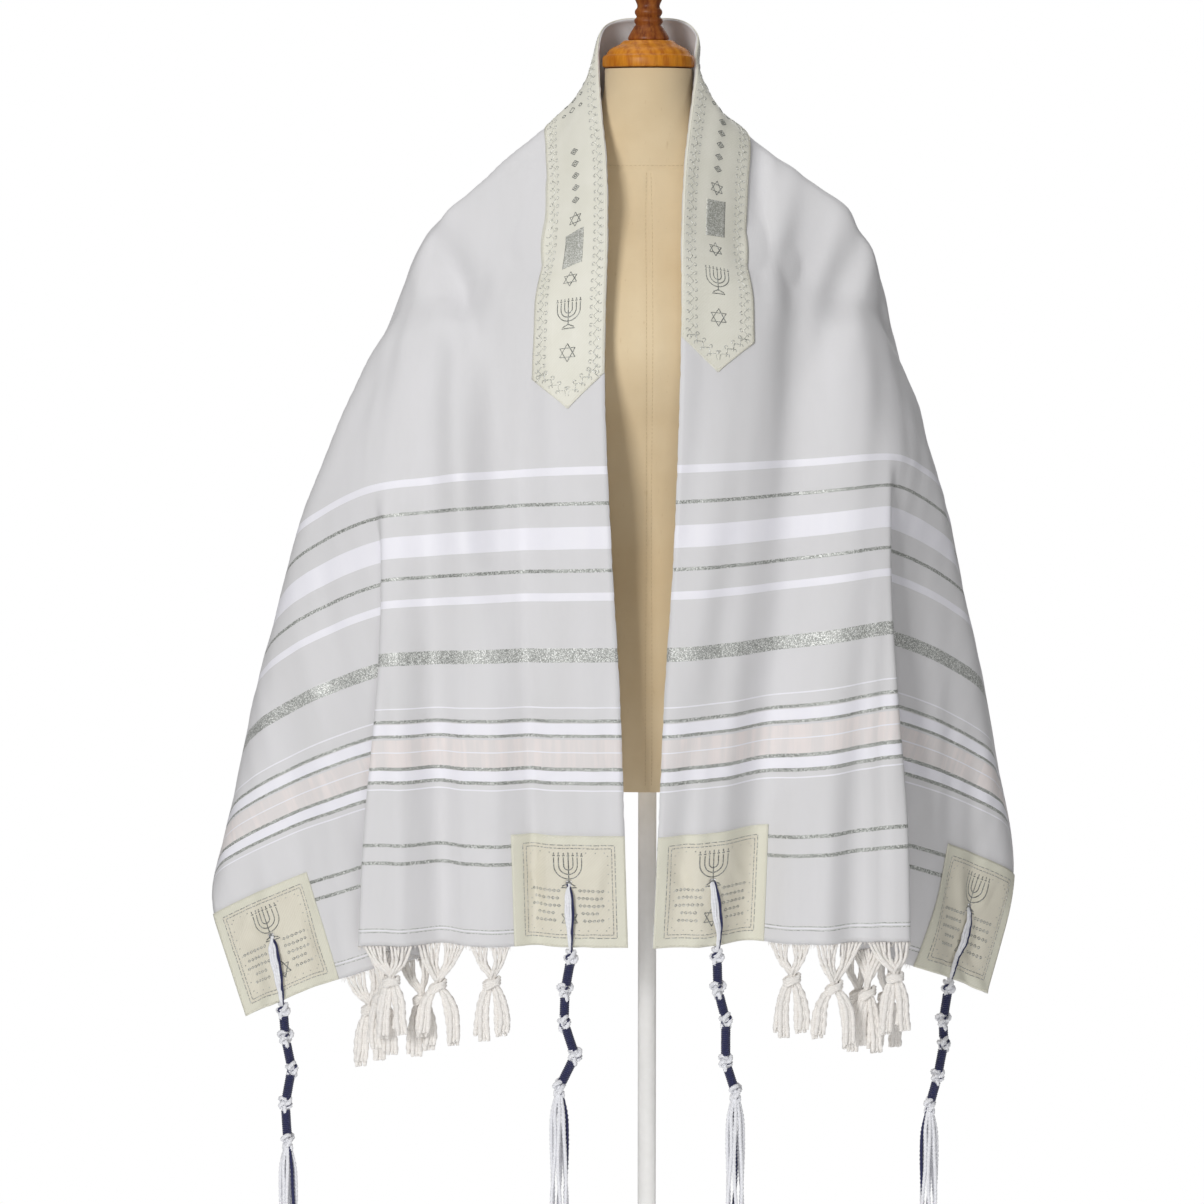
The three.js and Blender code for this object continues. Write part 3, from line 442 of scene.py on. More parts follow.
# The finer creases between the folds, in the same columns.
CREASES = (
    (-1, 240, 84, 780, 78, 30, -9), (-1, 240, 152, 760, 136, 36, 8),
    (-1, 300, 186, 1040, 184, 28, -12), (-1, 500, 128, 1040, 134, 24, 5),
    (-1, 420, 92, 1040, 92, 16, -6), (-1, 200, 214, 470, 112, 20, -6),
    (-1, 460, 220, 1040, 226, 18, 5), (-1, 440, 92, 760, 84, 26, -5),
    (-1, 330, 148, 760, 142, 34, 5),
    (-1, 470, 30, 1040, 34, 18, 2.4), (-1, 150, 120, 330, 300, 18, -3),
    (-1, 480, 290, 1040, 400, 24, -5), (-1, 560, 330, 1040, 440, 24, 5),
    (-1, 600, 370, 1040, 490, 22, -5), (-1, 760, 450, 1040, 530, 18, 4),
    (-1, 100, 30, 214, 168, 34, 10), (-1, 262, 252, 350, 292, 28, 5),
    (-1, 262, 226, 620, 380, 44, 10), (-1, 40, 0, 150, 60, 30, -6),
    (-1, 740, 500, 940, 620, 44, -7),
    (1, 120, 84, 330, 92, 16, -6), (1, 190, 118, 420, 100, 20, 5),
    (1, 180, 214, 470, 140, 26, -11), (1, 290, 80, 1040, -20, 34, 9),
    (1, 280, 150, 1040, 96, 52, -20), (1, 400, 186, 1040, 176, 26, 8),
    (1, 540, 212, 1040, 230, 11, -4), (1, 560, 34, 1040, 44, 16, 3),
    (1, 160, 140, 300, 320, 20, -3), (1, 610, 240, 1040, 432, 30, -14),
    (1, 600, 300, 1040, 480, 24, 6), (1, 700, 400, 1040, 540, 20, -4),
    (1, 30, 0, 140, 92, 40, -15), (1, 76, -10, 164, 74, 28, -15),
    (1, 205, 180, 280, 266, 26, -6), (1, 264, 250, 376, 298, 28, 9),
    (1, 330, 250, 480, 310, 30, 3), (1, 430, 264, 1040, 681, 54, -8),
    (1, 410, 246, 760, 500, 42, -8),
    (0, 60, 84, 480, 84, 40, -3), (0, 60, 220, 30, 640, 26, 5),
    (0, 160, 260, 140, 640, 18, -4),
    (0, 225, 300, 250, 640, 16, 3.5), (0, 290, 330, 370, 640, 16, -3.5),
    (0, 380, 360, 500, 640, 15, 3), (0, 480, 420, 640, 640, 14, -3),
    (0, 640, 470, 800, 640, 14, 2.5),
)
# Puckers where the patches are sewn on, in the same columns.
PUCKERS = (
    (-1, 900, 12, 1006, 44, 10, 2.2), (-1, 930, 66, 1030, 100, 11, 2.4),
    (-1, 912, 108, 1000, 76, 9, -2.0), (-1, 960, 6, 1034, 60, 10, -2.0),
    (-1, 925, 30, 945, 110, 8, 1.5), (-1, 900, 470, 1010, 452, 10, 2.2),
    (-1, 935, 540, 1034, 500, 12, 2.6), (-1, 915, 556, 985, 470, 9, -2.0),
    (-1, 970, 450, 1030, 560, 9, 1.8), (-1, 905, 500, 960, 556, 9, 1.6),
    (1, 915, 4, 1000, 60, 11, -2.8), (1, 940, 20, 1030, 70, 11, 2.6),
    (1, 905, 60, 990, 106, 9, 1.8), (1, 960, 100, 1034, 40, 10, -2.2),
    (1, 930, 10, 1010, 12, 8, 1.5), (1, 905, 456, 1000, 520, 11, 2.6),
    (1, 930, 556, 1034, 470, 10, -2.4), (1, 960, 450, 1020, 556, 9, 1.8),
    (1, 900, 530, 990, 500, 10, 2.0), (1, 985, 460, 1034, 540, 10, 2.2),
)
# A fold that runs off the cloth is full at this share of its length.
FULL_AT = 0.85

# Level sections of the torso: height, half width, reach to front and back, middle in Y.
TORSO = {
    "z": (719, 790, 890, 990, 1080, 1160, 1225, 1271, 1301, 1326, 1348, 1371, 1396, 1420, 1448),
    "half": (168, 172, 158, 128, 142, 160, 167, 175, 167, 141, 106, 74, 55, 46, 44),
    "front": (95, 103, 100, 88, 104, 124, 107, 84, 63, 52, 47, 46, 46, 45, 43),
    "back": (115, 122, 108, 86, 92, 99, 102, 92, 78, 66, 59, 54, 50, 46, 43),
    "middle": (10, 10, 8, 5, 3, 0, 2, 8, 12, 14, 14, 12, 9, 4, 1),
}
FORM_BOTTOM = 719
NECK_TOP = 1448
NECK_SEAM = 1346

# Distance between the places at which the hanging cloth is worked out.
LATTICE = 2.0
ROW_S = np.linspace(-HALF_LENGTH, HALF_LENGTH, int(2 * HALF_LENGTH / LATTICE) + 1)
COLUMN_V = np.arange(0, CLOTH_WIDTH + LATTICE / 2, LATTICE)

# Slight unevenness of worn cloth: wave length, slant, phase and height of each ripple.
RIPPLES = (
    (31, 0.9, 0.35, 0.30), (47, -1.3, 1.7, 0.24), (23, 2.1, 2.9, 0.20), (73, 0.4, 0.6, 0.16),
)
# A ripple slants over this length, and is so many times longer along the cloth than across it.
RIPPLE_SLANT_OVER = 160
RIPPLE_STRETCH = 4.3
# The cloth's direction at a hem is taken over this length above it.
HEM_REACH = 20


def bend(distance, width):
    """0 before the middle of a bend and 1 after it; the bend is `width` wide."""
    t = np.clip(distance / width + 0.5, 0, 1)
    return t * t * (3 - 2 * t)


def blend(a, b, t):
    return a + (b - a) * t


def smooth_value(xs, ys, at):
    """Value at `at` of the smooth curve through a short table."""
    xs, ys = np.asarray(xs, float), np.asarray(ys, float)
    last = len(xs) - 1
    index = np.arange(last + 1)
    before, after = np.maximum(index - 1, 0), np.minimum(index + 1, last)
    slopes = (ys[after] - ys[before]) / (xs[after] - xs[before])
    k = np.clip(np.searchsorted(xs, at) - 1, 0, last - 1)
    span = xs[k + 1] - xs[k]
    t = np.clip((at - xs[k]) / span, 0, 1)
    t2, t3 = t * t, t * t * t
    start = (2 * t3 - 3 * t2 + 1) * ys[k] + (t3 - 2 * t2 + t) * span * slopes[k]
    return start + (3 * t2 - 2 * t3) * ys[k + 1] + (t3 - t2) * span * slopes[k + 1]


def torso_section(z):
    keys = ("half", "front", "back", "middle")
    return {key: smooth_value(TORSO["z"], TORSO[key], z) for key in keys}


def mirrored(key, values):
    """A table's column with its second row mirrored before the first, across the centre back."""
    second = -values[1] if key in ("u", "out") else values[1]
    return ((180 - second) if key.endswith("turn") else second, *values)


def neck_edge(side):
    out, y, z = (np.array(NECK_EDGE[key], float) for key in (side, "y", "z"))
    steps = np.sqrt(np.diff(out) ** 2 + np.diff(y) ** 2 + np.diff(z) ** 2)
    u = np.concatenate([[0], np.cumsum(steps)])
    u *= HALF_LENGTH / u[-1]
    columns = {"u": u, "out": out, "y": y, "z": z}
    return {key: mirrored(key, tuple(values)) for key, values in columns.items()}


def section_values(s):
    """Every column of the table of sections, at the rows `s`."""
    u = np.abs(s)
    places = mirrored("u", SECTIONS["u"])
    keys = [key for key in SECTIONS if key != "u"]
    row = {key: smooth_value(places, mirrored(key, SECTIONS[key]), u) for key in keys}
    row["pleat"] = np.maximum(row["pleat"], 0)
    for key in RIGHT_CHANGES:
        if key != "u":
            row[key] = row[key] + (s > 0) * smooth_value(RIGHT_CHANGES["u"], RIGHT_CHANGES[key], u)
    return row


def steepening(t, sag):
    """A stretch drops less at its start and more at its end, by the share `sag`."""
    return blend(1 - sag, 1 + sag, np.clip(t, 0, 1))


def plain_lattice():
    """The cloth before its folds: each section walks outwards from the neck edge."""
    s, u = ROW_S[:, None], np.abs(ROW_S)
    row = {key: value[:, None] for key, value in section_values(ROW_S).items()}
    v = (COLUMN_V[:-1] + LATTICE / 2)[None, :]
    return_at = row["front"] + row["pleat"]
    to_side = bend(v - row["front"], FRONT_BEND)
    to_back = bend(v - return_at - row["side"], CREST_BEND)
    in_pleat = bend(v - row["front"], PLEAT_BEND) - bend(v - return_at, PLEAT_BEND)
    front_drop = row["front_drop"] * steepening(v / row["front"], FRONT_SAG)
    side_drop = row["side_drop"] * steepening((v - return_at) / row["side"], SIDE_SAG)
    in_collar = 1 - bend(v - NECKBAND["width"], COLLAR_BEND)
    rise, fall = (smooth_value(COLLAR["u"], COLLAR[key], u)[:, None] for key in ("turn", "drop"))
    front_turn = row["front_turn"] + in_collar * rise
    front_drop = front_drop + in_collar * fall
    turn = blend(blend(front_turn, row["side_turn"], to_side), row["back_turn"], to_back)
    drop = blend(blend(front_drop, side_drop, to_side), row["back_drop"], to_back)
    turn = np.radians(blend(turn, PLEAT_TURN, in_pleat))
    drop = np.radians(blend(drop, PLEAT_DROP, in_pleat))
    across = np.where(s < 0, -1.0, 1.0)
    level = np.cos(drop) * LATTICE
    steps = np.stack([across * level * np.cos(turn), level * np.sin(turn), -np.sin(drop) * LATTICE], -1)
    start = np.zeros((len(ROW_S), 1, 3))
    for side, chosen in (("left", ROW_S < 0), ("right", ROW_S >= 0)):
        edge = neck_edge(side)
        values = [smooth_value(edge["u"], edge[key], u[chosen]) for key in ("out", "y", "z")]
        start[chosen, 0] = np.stack(values, -1) * np.array([-1 if side == "left" else 1, 1, 1])
    return np.concatenate([start, start + np.cumsum(steps, axis=1)], axis=1)


def facings(points):
    """Unit normals of a lattice of points, away from the torso."""
    along = np.gradient(points, axis=0)
    across = np.gradient(points, axis=1)
    normal = np.cross(along, across)
    return normal / np.linalg.norm(normal, axis=-1, keepdims=True)


def fold_heights(table):
    s, v = np.meshgrid(ROW_S, COLUMN_V, indexing="ij")
    u = np.abs(s)
    height = np.zeros_like(u)
    for side, from_u, from_v, to_u, to_v, wide, depth in table:
        length = math.hypot(to_u - from_u, to_v - from_v)
        du, dv = (to_u - from_u) / length, (to_v - from_v) / length
        along = ((u - from_u) * du + (v - from_v) * dv) / length
        off = np.abs((v - from_v) * du - (u - from_u) * dv) / wide
        ends_on_cloth = to_u < HALF_LENGTH and to_v < CLOTH_WIDTH
        if ends_on_cloth:
            swell = np.sin(math.pi * np.clip(along, 0, 1))
        else:
            swell = np.sin(np.clip(along, 0, FULL_AT) / FULL_AT * math.pi / 2)
        here = (off < 1) & ((side == 0) | (np.sign(s) == side))
        height += here * depth * swell ** 2 * (1 + np.cos(math.pi * np.minimum(off, 1))) / 2
    return height


def clear_of_torso(points, gap):
    """Moves points level and outwards until they clear the torso by the gap."""
    z = points[..., 2]
    section = torso_section(z)
    along = points[..., 1] - section["middle"]
    reach = np.where(along < 0, section["front"], section["back"])
    size = np.hypot(points[..., 0] / (section["half"] + gap), along / (reach + gap))
    held = (size < 1) & (z > FORM_BOTTOM) & (z < NECK_TOP)
    share = np.where(held, np.maximum(size, 1e-3), 1.0)
    moved = points.copy()
    moved[..., 0] = points[..., 0] / share
    moved[..., 1] = np.where(held, section["middle"] + along / share, points[..., 1])
    return moved


def ripples():
    s, v = np.meshgrid(ROW_S, COLUMN_V, indexing="ij")
    height = np.zeros_like(s)
    for length, slant, phase, size in RIPPLES:
        across = np.sin(v * 2 * math.pi / length + slant * s / RIPPLE_SLANT_OVER + phase)
        height += size * across * np.sin(s / (length * RIPPLE_STRETCH) + 2 * phase)
    return height


def cloth_lattice():
    points = plain_lattice()
    height = fold_heights(FOLDS + CREASES + PUCKERS) + ripples()
    points = clear_of_torso(points + facings(points) * height[..., None], FORM_GAP)
    return points, facings(points)


CLOTH_POINTS, CLOTH_FACINGS = cloth_lattice()


def value_at(lattice, s, v):
    """A lattice's value at flat places, also between its points."""
    i = np.clip((np.asarray(s, float) + HALF_LENGTH) / LATTICE, 0, len(ROW_S) - 1)
    j = np.clip(np.asarray(v, float) / LATTICE, 0, len(COLUMN_V) - 1)
    i0 = np.minimum(i.astype(int), len(ROW_S) - 2)
    j0 = np.minimum(j.astype(int), len(COLUMN_V) - 2)
    a, b = (i - i0)[..., None], (j - j0)[..., None]
    near = lattice[i0, j0] * (1 - b) + lattice[i0, j0 + 1] * b
    far = lattice[i0 + 1, j0] * (1 - b) + lattice[i0 + 1, j0 + 1] * b
    return near * (1 - a) + far * a


def on_cloth(s, v, off=0.0):
    """Places `off` millimetres outside the middle of the cloth, in metres."""
    s, v, off = np.broadcast_arrays(*(np.asarray(a, float) for a in (s, v, off)))
    facing = value_at(CLOTH_FACINGS, s, v)
    return (value_at(CLOTH_POINTS, s, v) + facing * off[..., None]) * MM


def past_hem(sign, v, beyond, off=0.0):
    """A place `beyond` the hem in the cloth's own plane, in metres."""
    hem = on_cloth(sign * HALF_LENGTH, v)
    warp = hem - on_cloth(sign * (HALF_LENGTH - HEM_REACH), v)
    warp /= np.linalg.norm(warp)
    return on_cloth(sign * HALF_LENGTH, v, off) + warp * beyond * MM


# ---------------------------------------------------------------- making pieces

# How far the plies of a yarn stand out, as a share of its radius.
PLY_DEPTH = 0.2
# The flat map of a tube is so wide, in metres.
FLAT_TUBE_WIDTH = 0.01


def deselect():
    if bpy.context.object and bpy.context.object.mode != "OBJECT":
        bpy.ops.object.mode_set(mode="OBJECT")
    for o in bpy.context.view_layer.objects:
        o.select_set(False)


def choose(obj):
    deselect()
    obj.select_set(True)
    bpy.context.view_layer.objects.active = obj


def finish_modifiers(obj):
    choose(obj)
    for modifier in list(obj.modifiers):
        bpy.ops.object.modifier_apply(modifier=modifier.name)


def new_object(name, points, faces, flat, material):
    """A mesh piece. `flat` is the place of each point in its flat map, in metres."""
    mesh = bpy.data.meshes.new(name)
    mesh.from_pydata([tuple(p) for p in points], [], [tuple(f) for f in faces])
    corners = np.zeros(len(mesh.loops), np.int32)
    mesh.loops.foreach_get("vertex_index", corners)
    layer = mesh.uv_layers.new(name="flat")
    layer.data.foreach_set("uv", np.asarray(flat, np.float32)[corners].ravel())
    mesh.polygons.foreach_set("use_smooth", [True] * len(mesh.polygons))
    mesh.materials.append(material)
    mesh.update()
    obj = bpy.data.objects.new(name, mesh)
    bpy.context.scene.collection.objects.link(obj)
    return obj


def grid_faces(rows, columns):
    i, j = np.meshgrid(np.arange(rows - 1), np.arange(columns - 1), indexing="ij")
    a = (i * columns + j).ravel()
    return np.stack([a, a + columns, a + columns + 1, a + 1], -1)


def cloth_piece(name, s, v, off, wall, material, cuts=()):
    """A thin shell on the cloth's form, from grids of flat places; `cuts` are round holes."""
    rows, columns = s.shape
    points = on_cloth(s, v, off).reshape(-1, 3)
    faces = grid_faces(rows, columns)
    middle_s, middle_v = (a.ravel()[faces].mean(axis=1) for a in (s, v))
    for hole_s, hole_v, radius in cuts:
        faces = faces[np.hypot(middle_s - hole_s, middle_v - hole_v) > radius]
        middle_s, middle_v = (a.ravel()[faces].mean(axis=1) for a in (s, v))
    flat = np.stack([s.ravel(), v.ravel()], -1) * MM
    obj = new_object(name, points, faces, flat, material)
    thick = obj.modifiers.new("wall", "SOLIDIFY")
    thick.thickness = wall * MM
    thick.offset = 0
    finish_modifiers(obj)
    return obj


class Bundle:
    """Many thin tubes gathered into one piece."""

    def __init__(self):
        self.points, self.faces, self.flat, self.count = [], [], [], 0

    def tube(self, path, radius, sides, lobes=0, turns=0.0, start=UP, flatten=1.0):
        """A tube through `path` (metres). `lobes` plies wind round it `turns` times a metre."""
        path = np.asarray(path, float)
        radius = np.broadcast_to(np.asarray(radius, float), len(path)) * MM
        ahead = np.gradient(path, axis=0)
        ahead /= np.linalg.norm(ahead, axis=1, keepdims=True)
        side = np.cross(ahead[0], start)
        if np.linalg.norm(side) < 1e-3:
            side = np.cross(ahead[0], [1.0, 0, 0])
        distance = np.concatenate([[0], np.cumsum(np.linalg.norm(np.diff(path, axis=0), axis=1))])
        angle = np.arange(sides) / sides * 2 * math.pi
        rings = []
        for k, point in enumerate(path):
            side = side - ahead[k] * (side @ ahead[k])
            side /= np.linalg.norm(side)
            other = np.cross(ahead[k], side)
            reach = radius[k] * np.ones(sides)
            if lobes:
                twist = turns * 2 * math.pi * distance[k]
                reach *= 1 + PLY_DEPTH * np.cos(lobes * (angle - twist))
            wide = np.outer(np.cos(angle) * reach, side)
            rings.append(point + wide + np.outer(np.sin(angle) * reach * flatten, other))
        n = len(path)
        base = self.count
        self.points.append(np.concatenate(rings + [path[:1], path[-1:]]))
        k, i = np.meshgrid(np.arange(n - 1), np.arange(sides), indexing="ij")
        a, b = k * sides + i, k * sides + (i + 1) % sides
        quads = np.stack([a, b, b + sides, a + sides], -1).reshape(-1, 4) + base
        self.faces.extend(quads.tolist())
        first, last = base + n * sides, base + n * sides + 1
        for i in range(sides):
            after = (i + 1) % sides
            self.faces.append([first, base + after, base + i])
            self.faces.append([last, base + (n - 1) * sides + i, base + (n - 1) * sides + after])
        round_it = np.abs(angle / math.pi - 1) * FLAT_TUBE_WIDTH
        flat = np.stack(np.meshgrid(distance, round_it, indexing="ij"), -1).reshape(-1, 2)
        self.flat.append(np.concatenate([flat, [[0, 0], [distance[-1], 0]]]))
        self.count += n * sides + 2

    def piece(self, name, material):
        points, flat = np.concatenate(self.points), np.concatenate(self.flat)
        return new_object(name, points, self.faces, flat, material)


def curve_through(points, steps):
    """A smooth curve through a few points, as `steps` points at even distances."""
    points = np.asarray(points, float)
    gaps = np.linalg.norm(np.diff(points, axis=0), axis=1)
    places = np.concatenate([[0], np.cumsum(np.maximum(gaps, 1e-6))])
    at = np.linspace(0, places[-1], steps)
    return np.stack([smooth_value(places, points[:, k], at) for k in range(3)], -1)


def rides(obj, slot, *nodes):
    """Hangs a piece on the part and hides the nodes that it replaces. `slot` is not used."""
    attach(obj, "root")
    if nodes:
        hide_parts(*nodes)
    return obj


# ---------------------------------------------------------------- cloth, neckband and patches

CLOTH_ROWS = 371
# The pleat's first fold lies between `least` and `most`, and its second at least `apart` from it
# and before `end`. Columns lie close together within `reach` of either fold.
PLEAT_COLUMNS = {"least": 160, "most": 290, "apart": 22, "end": 372, "reach": 10}
# Columns over the front, the first fold, the pleat, the second fold and the side.
COLUMN_COUNTS = (40, 9, 6, 9, 46)
NECKBAND_ROWS = 216
NECKBAND_TIP_ROWS = 10
NECKBAND_COLUMNS = 21
# The neckband's edge is turned under by so much.
TURNED_UNDER = 0.25
PATCH_ROWS = 41
PATCH_CUT = 3.4


def hole_of(corner):
    sign, far = CORNERS[corner]
    v = CLOTH_WIDTH - PATCH["across"] / 2 if far else PATCH["across"] / 2
    return sign * (HALF_LENGTH - PATCH["hole_up"]), v


def cloth_columns(s):
    """Columns across the cloth for each row: close together over the pleat's two folds."""
    row, pleat = section_values(s), PLEAT_COLUMNS
    first = np.clip(row["front"], pleat["least"], pleat["most"])
    second = np.clip(row["front"] + row["pleat"], first + pleat["apart"], pleat["end"])
    reach = pleat["reach"]
    start, end = np.zeros_like(s), np.full_like(s, CLOTH_WIDTH)
    stops = (start, first - reach, first + reach, second - reach, second + reach, end)
    columns = []
    for a, b, count in zip(stops, stops[1:], COLUMN_COUNTS):
        columns += [blend(a, b, t) for t in np.arange(count) / count]
    return np.stack(columns + [end], -1)


def selvedge(s):
    """How far the cloth's long edge wanders inwards, in millimetres."""
    return np.maximum(np.sin(s * 1.9) * 0.35 + np.sin(s * 4.7 + 1) * 0.3, -0.2)


def make_cloth(material):
    s = np.linspace(-HALF_LENGTH, HALF_LENGTH, CLOTH_ROWS)
    v = cloth_columns(s)
    v[:, 0] += selvedge(s)
    v[:, -1] -= selvedge(s)[::-1]
    s = np.repeat(s[:, None], v.shape[1], axis=1)
    cuts = [(*hole_of(corner), PATCH["hole"] - 1) for corner in CORNERS]
    cloth = cloth_piece("shawl", s, v, 0.0, CLOTH_WALL, material, cuts)
    return rides(cloth, "cloth", "shawl_cloth")


def share_of_width(s):
    """Share of the neckband's full width at row s: 1 on its body, near 0 at its tips."""
    past = np.maximum(-s - NECKBAND["left"], s - NECKBAND["right"])
    return np.clip(1 - past / NECKBAND["point"], 0.02, 1)


def make_neckband(material):
    body = np.linspace(-NECKBAND["left"], NECKBAND["right"], NECKBAND_ROWS)
    tip = np.linspace(0, NECKBAND["point"], NECKBAND_TIP_ROWS)[1:]
    s = np.concatenate([body[0] - tip[::-1], body, body[-1] + tip])
    across = np.linspace(-1, 1, NECKBAND_COLUMNS)
    v = NECKBAND["width"] / 2 * (1 + across[None, :] * share_of_width(s)[:, None])
    s = np.repeat(s[:, None], len(across), axis=1)
    off = BROCADE_MIDDLE - (np.abs(across[None, :]) == 1) * TURNED_UNDER
    band = cloth_piece("neckband_brocade", s, v, off, BROCADE_WALL, material)
    return rides(band, "brocade", "neckband")


def make_patch(corner, material):
    sign, far = CORNERS[corner]
    u = np.linspace(HALF_LENGTH - PATCH["along"], HALF_LENGTH, PATCH_ROWS)
    start = CLOTH_WIDTH - PATCH["across"] if far else 0
    v = np.linspace(0, PATCH["across"], PATCH_ROWS) + start
    s, v = np.meshgrid(np.sort(sign * u), v, indexing="ij")
    cuts = [(*hole_of(corner), PATCH_CUT)]
    name = f"patch_{corner}_brocade"
    patch = cloth_piece(name, s, v, BROCADE_MIDDLE, BROCADE_WALL, material, cuts)
    return rides(patch, "brocade", f"patch_{corner}")


# ---------------------------------------------------------------- embroidery and stitches

# A sewn thread follows the cloth in steps of this length.
THREAD_STEP = 1.6
# Threads lie so far above the brocade: on the neckband, on a patch.
NECKBAND_THREAD_AT = BROCADE_TOP + 0.05
PATCH_THREAD_AT = BROCADE_TOP + 0.02
# The scroll border: a zigzag of this pitch and half height, with a curl beside each bend.
SCROLL = {"pitch": 9, "height": 1.9, "curl": 1.7, "curl_at": 4.1}
# Distance of the neckband's border from its edges.
BORDER_INSET = 10
# Direction across the border at the neckband's pointed ends: along s and along v.
TIP_ACROSS = (0.76, 0.65)
# Places on each end of the neckband, up from where its point begins.
NECKBAND_FIGURES = {
    "lampstand": 62, "low_star": 22, "middle_star": 98, "panel": 132, "high_star": 168,
    "first_lozenge": 190,
}
LOZENGES = 5
LOZENGE_PITCH = 14
# Rows of lozenges behind the neck: half their length and pitch, then each row's v and size.
NECK_ROWS = {"reach": 150, "pitch": 15}
NECK_LOZENGES = ((26, (5, 4)), (38, (8, 7)), (50, (5, 4)))
# Dashed squares round a patch: distance inside its frame and pitch of the dashes.
PATCH_SQUARES = ((0, 7.0), (3.2, 4.0))
# Rows of small lozenges on a patch: place up from its middle, and where a row starts and ends.
PATCH_ROWS_OF_LOZENGES = (
    (1, 8, 36), (-6.5, 8, 33), (-14, 8, 36), (-21.5, 14, 29), (-29, 14, 32),
)
PATCH_LOZENGE_PITCH = 4.3
# Sewing stitches: length of one, the gap after it, and their distance from an edge.
STITCH = 3.2
STITCH_GAP = 1.1
STITCH_INSET = 1.8


class Motif:
    """Lines sewn on the cloth, with threads of one width and height. Each line is drawn in
    millimetres, x to the viewer's right and y up, from a middle place on a front."""

    def __init__(self, bundle, off, width, height):
        self.bundle, self.off, self.width, self.height = bundle, off, width, height

    def sew(self, s, v):
        """A thread along flat places."""
        s, v = np.asarray(s, float), np.asarray(v, float)
        steps = np.hypot(np.diff(s), np.diff(v))
        places = np.concatenate([[0], np.cumsum(steps)])
        count = max(int(places[-1] / THREAD_STEP), len(s)) + 1
        at = np.unique(np.concatenate([np.linspace(0, places[-1], count), places]))
        s, v = np.interp(at, places, s), np.interp(at, places, v)
        path, outwards = on_cloth(s, v, self.off), value_at(CLOTH_FACINGS, s[0], v[0])
        share = self.height / self.width
        self.bundle.tube(path, self.width, sides=4, start=outwards, flatten=share)

    def draw(self, middle, lines, size=1.0):
        """Lines on a front, from a middle (sign, u, v)."""
        sign, u, v = middle
        for line in lines:
            line = np.asarray(line, float) * size
            self.sew(sign * (u - line[:, 1]), v + sign * line[:, 0])


def arc(cx, cy, radius, start, end, steps=10):
    angle = np.radians(np.linspace(start, end, steps))
    return np.stack([cx + radius * np.cos(angle), cy + radius * np.sin(angle)], -1)


def lampstand():
    """A plain seven-branched lampstand, about 26 wide and 30 high."""
    lines = [[(0, -13), (0, 13)], [(-6, -15), (0, -12), (6, -15)], [(-7, -16.4), (7, -16.4)]]
    for radius in (4.2, 8.4, 12.6):
        branch = arc(0, 4, radius, 180, 360, 14)
        lines.append(np.concatenate([[(-radius, 11)], branch, [(radius, 11)]]))
    for x in (-12.6, -8.4, -4.2, 0, 4.2, 8.4, 12.6):
        lines.append([(x - 1.1, 12.6), (x + 1.1, 12.6)])
        lines.append([(x, 13.6), (x, 15.4)])
    return lines


def star(radius):
    """A six-pointed star: two triangles laid over each other."""
    turns = np.radians(range(0, 360, 60))
    corners = [(radius * math.sin(turn), radius * math.cos(turn)) for turn in turns]
    return [corners[0::2] + corners[:1], corners[1::2] + corners[1:2]]


def lozenge(width, height):
    x, y = width / 2, height / 2
    return [[(0, y), (x, 0), (0, -y), (-x, 0), (0, y)]]


def moved(lines, x, y):
    return [np.asarray(line, float) + (x, y) for line in lines]


def scroll_border(motif, s_from, v_from, s_to, v_to, inward):
    """A zigzag with a small curl in each bend, from one flat place to another."""
    length = math.hypot(s_to - s_from, v_to - v_from)
    ds, dv = (s_to - s_from) / length, (v_to - v_from) / length
    ns, nv = inward
    count = max(int(length / SCROLL["pitch"]), 1)
    pitch = length / count

    def sew_along(points):
        a, h = np.asarray(points, float).T
        motif.sew(s_from + a * ds + h * ns, v_from + a * dv + h * nv)

    height, radius, beside = SCROLL["height"], SCROLL["curl"], SCROLL["curl_at"]
    sew_along([(t * pitch / 2, height if t % 2 else -height) for t in range(2 * count + 1)])
    for k in range(count):
        sew_along(arc((k + 0.5) * pitch, beside, radius, 200, -40, 6))
        sew_along(arc(k * pitch, -beside, radius, 20, 260, 6))


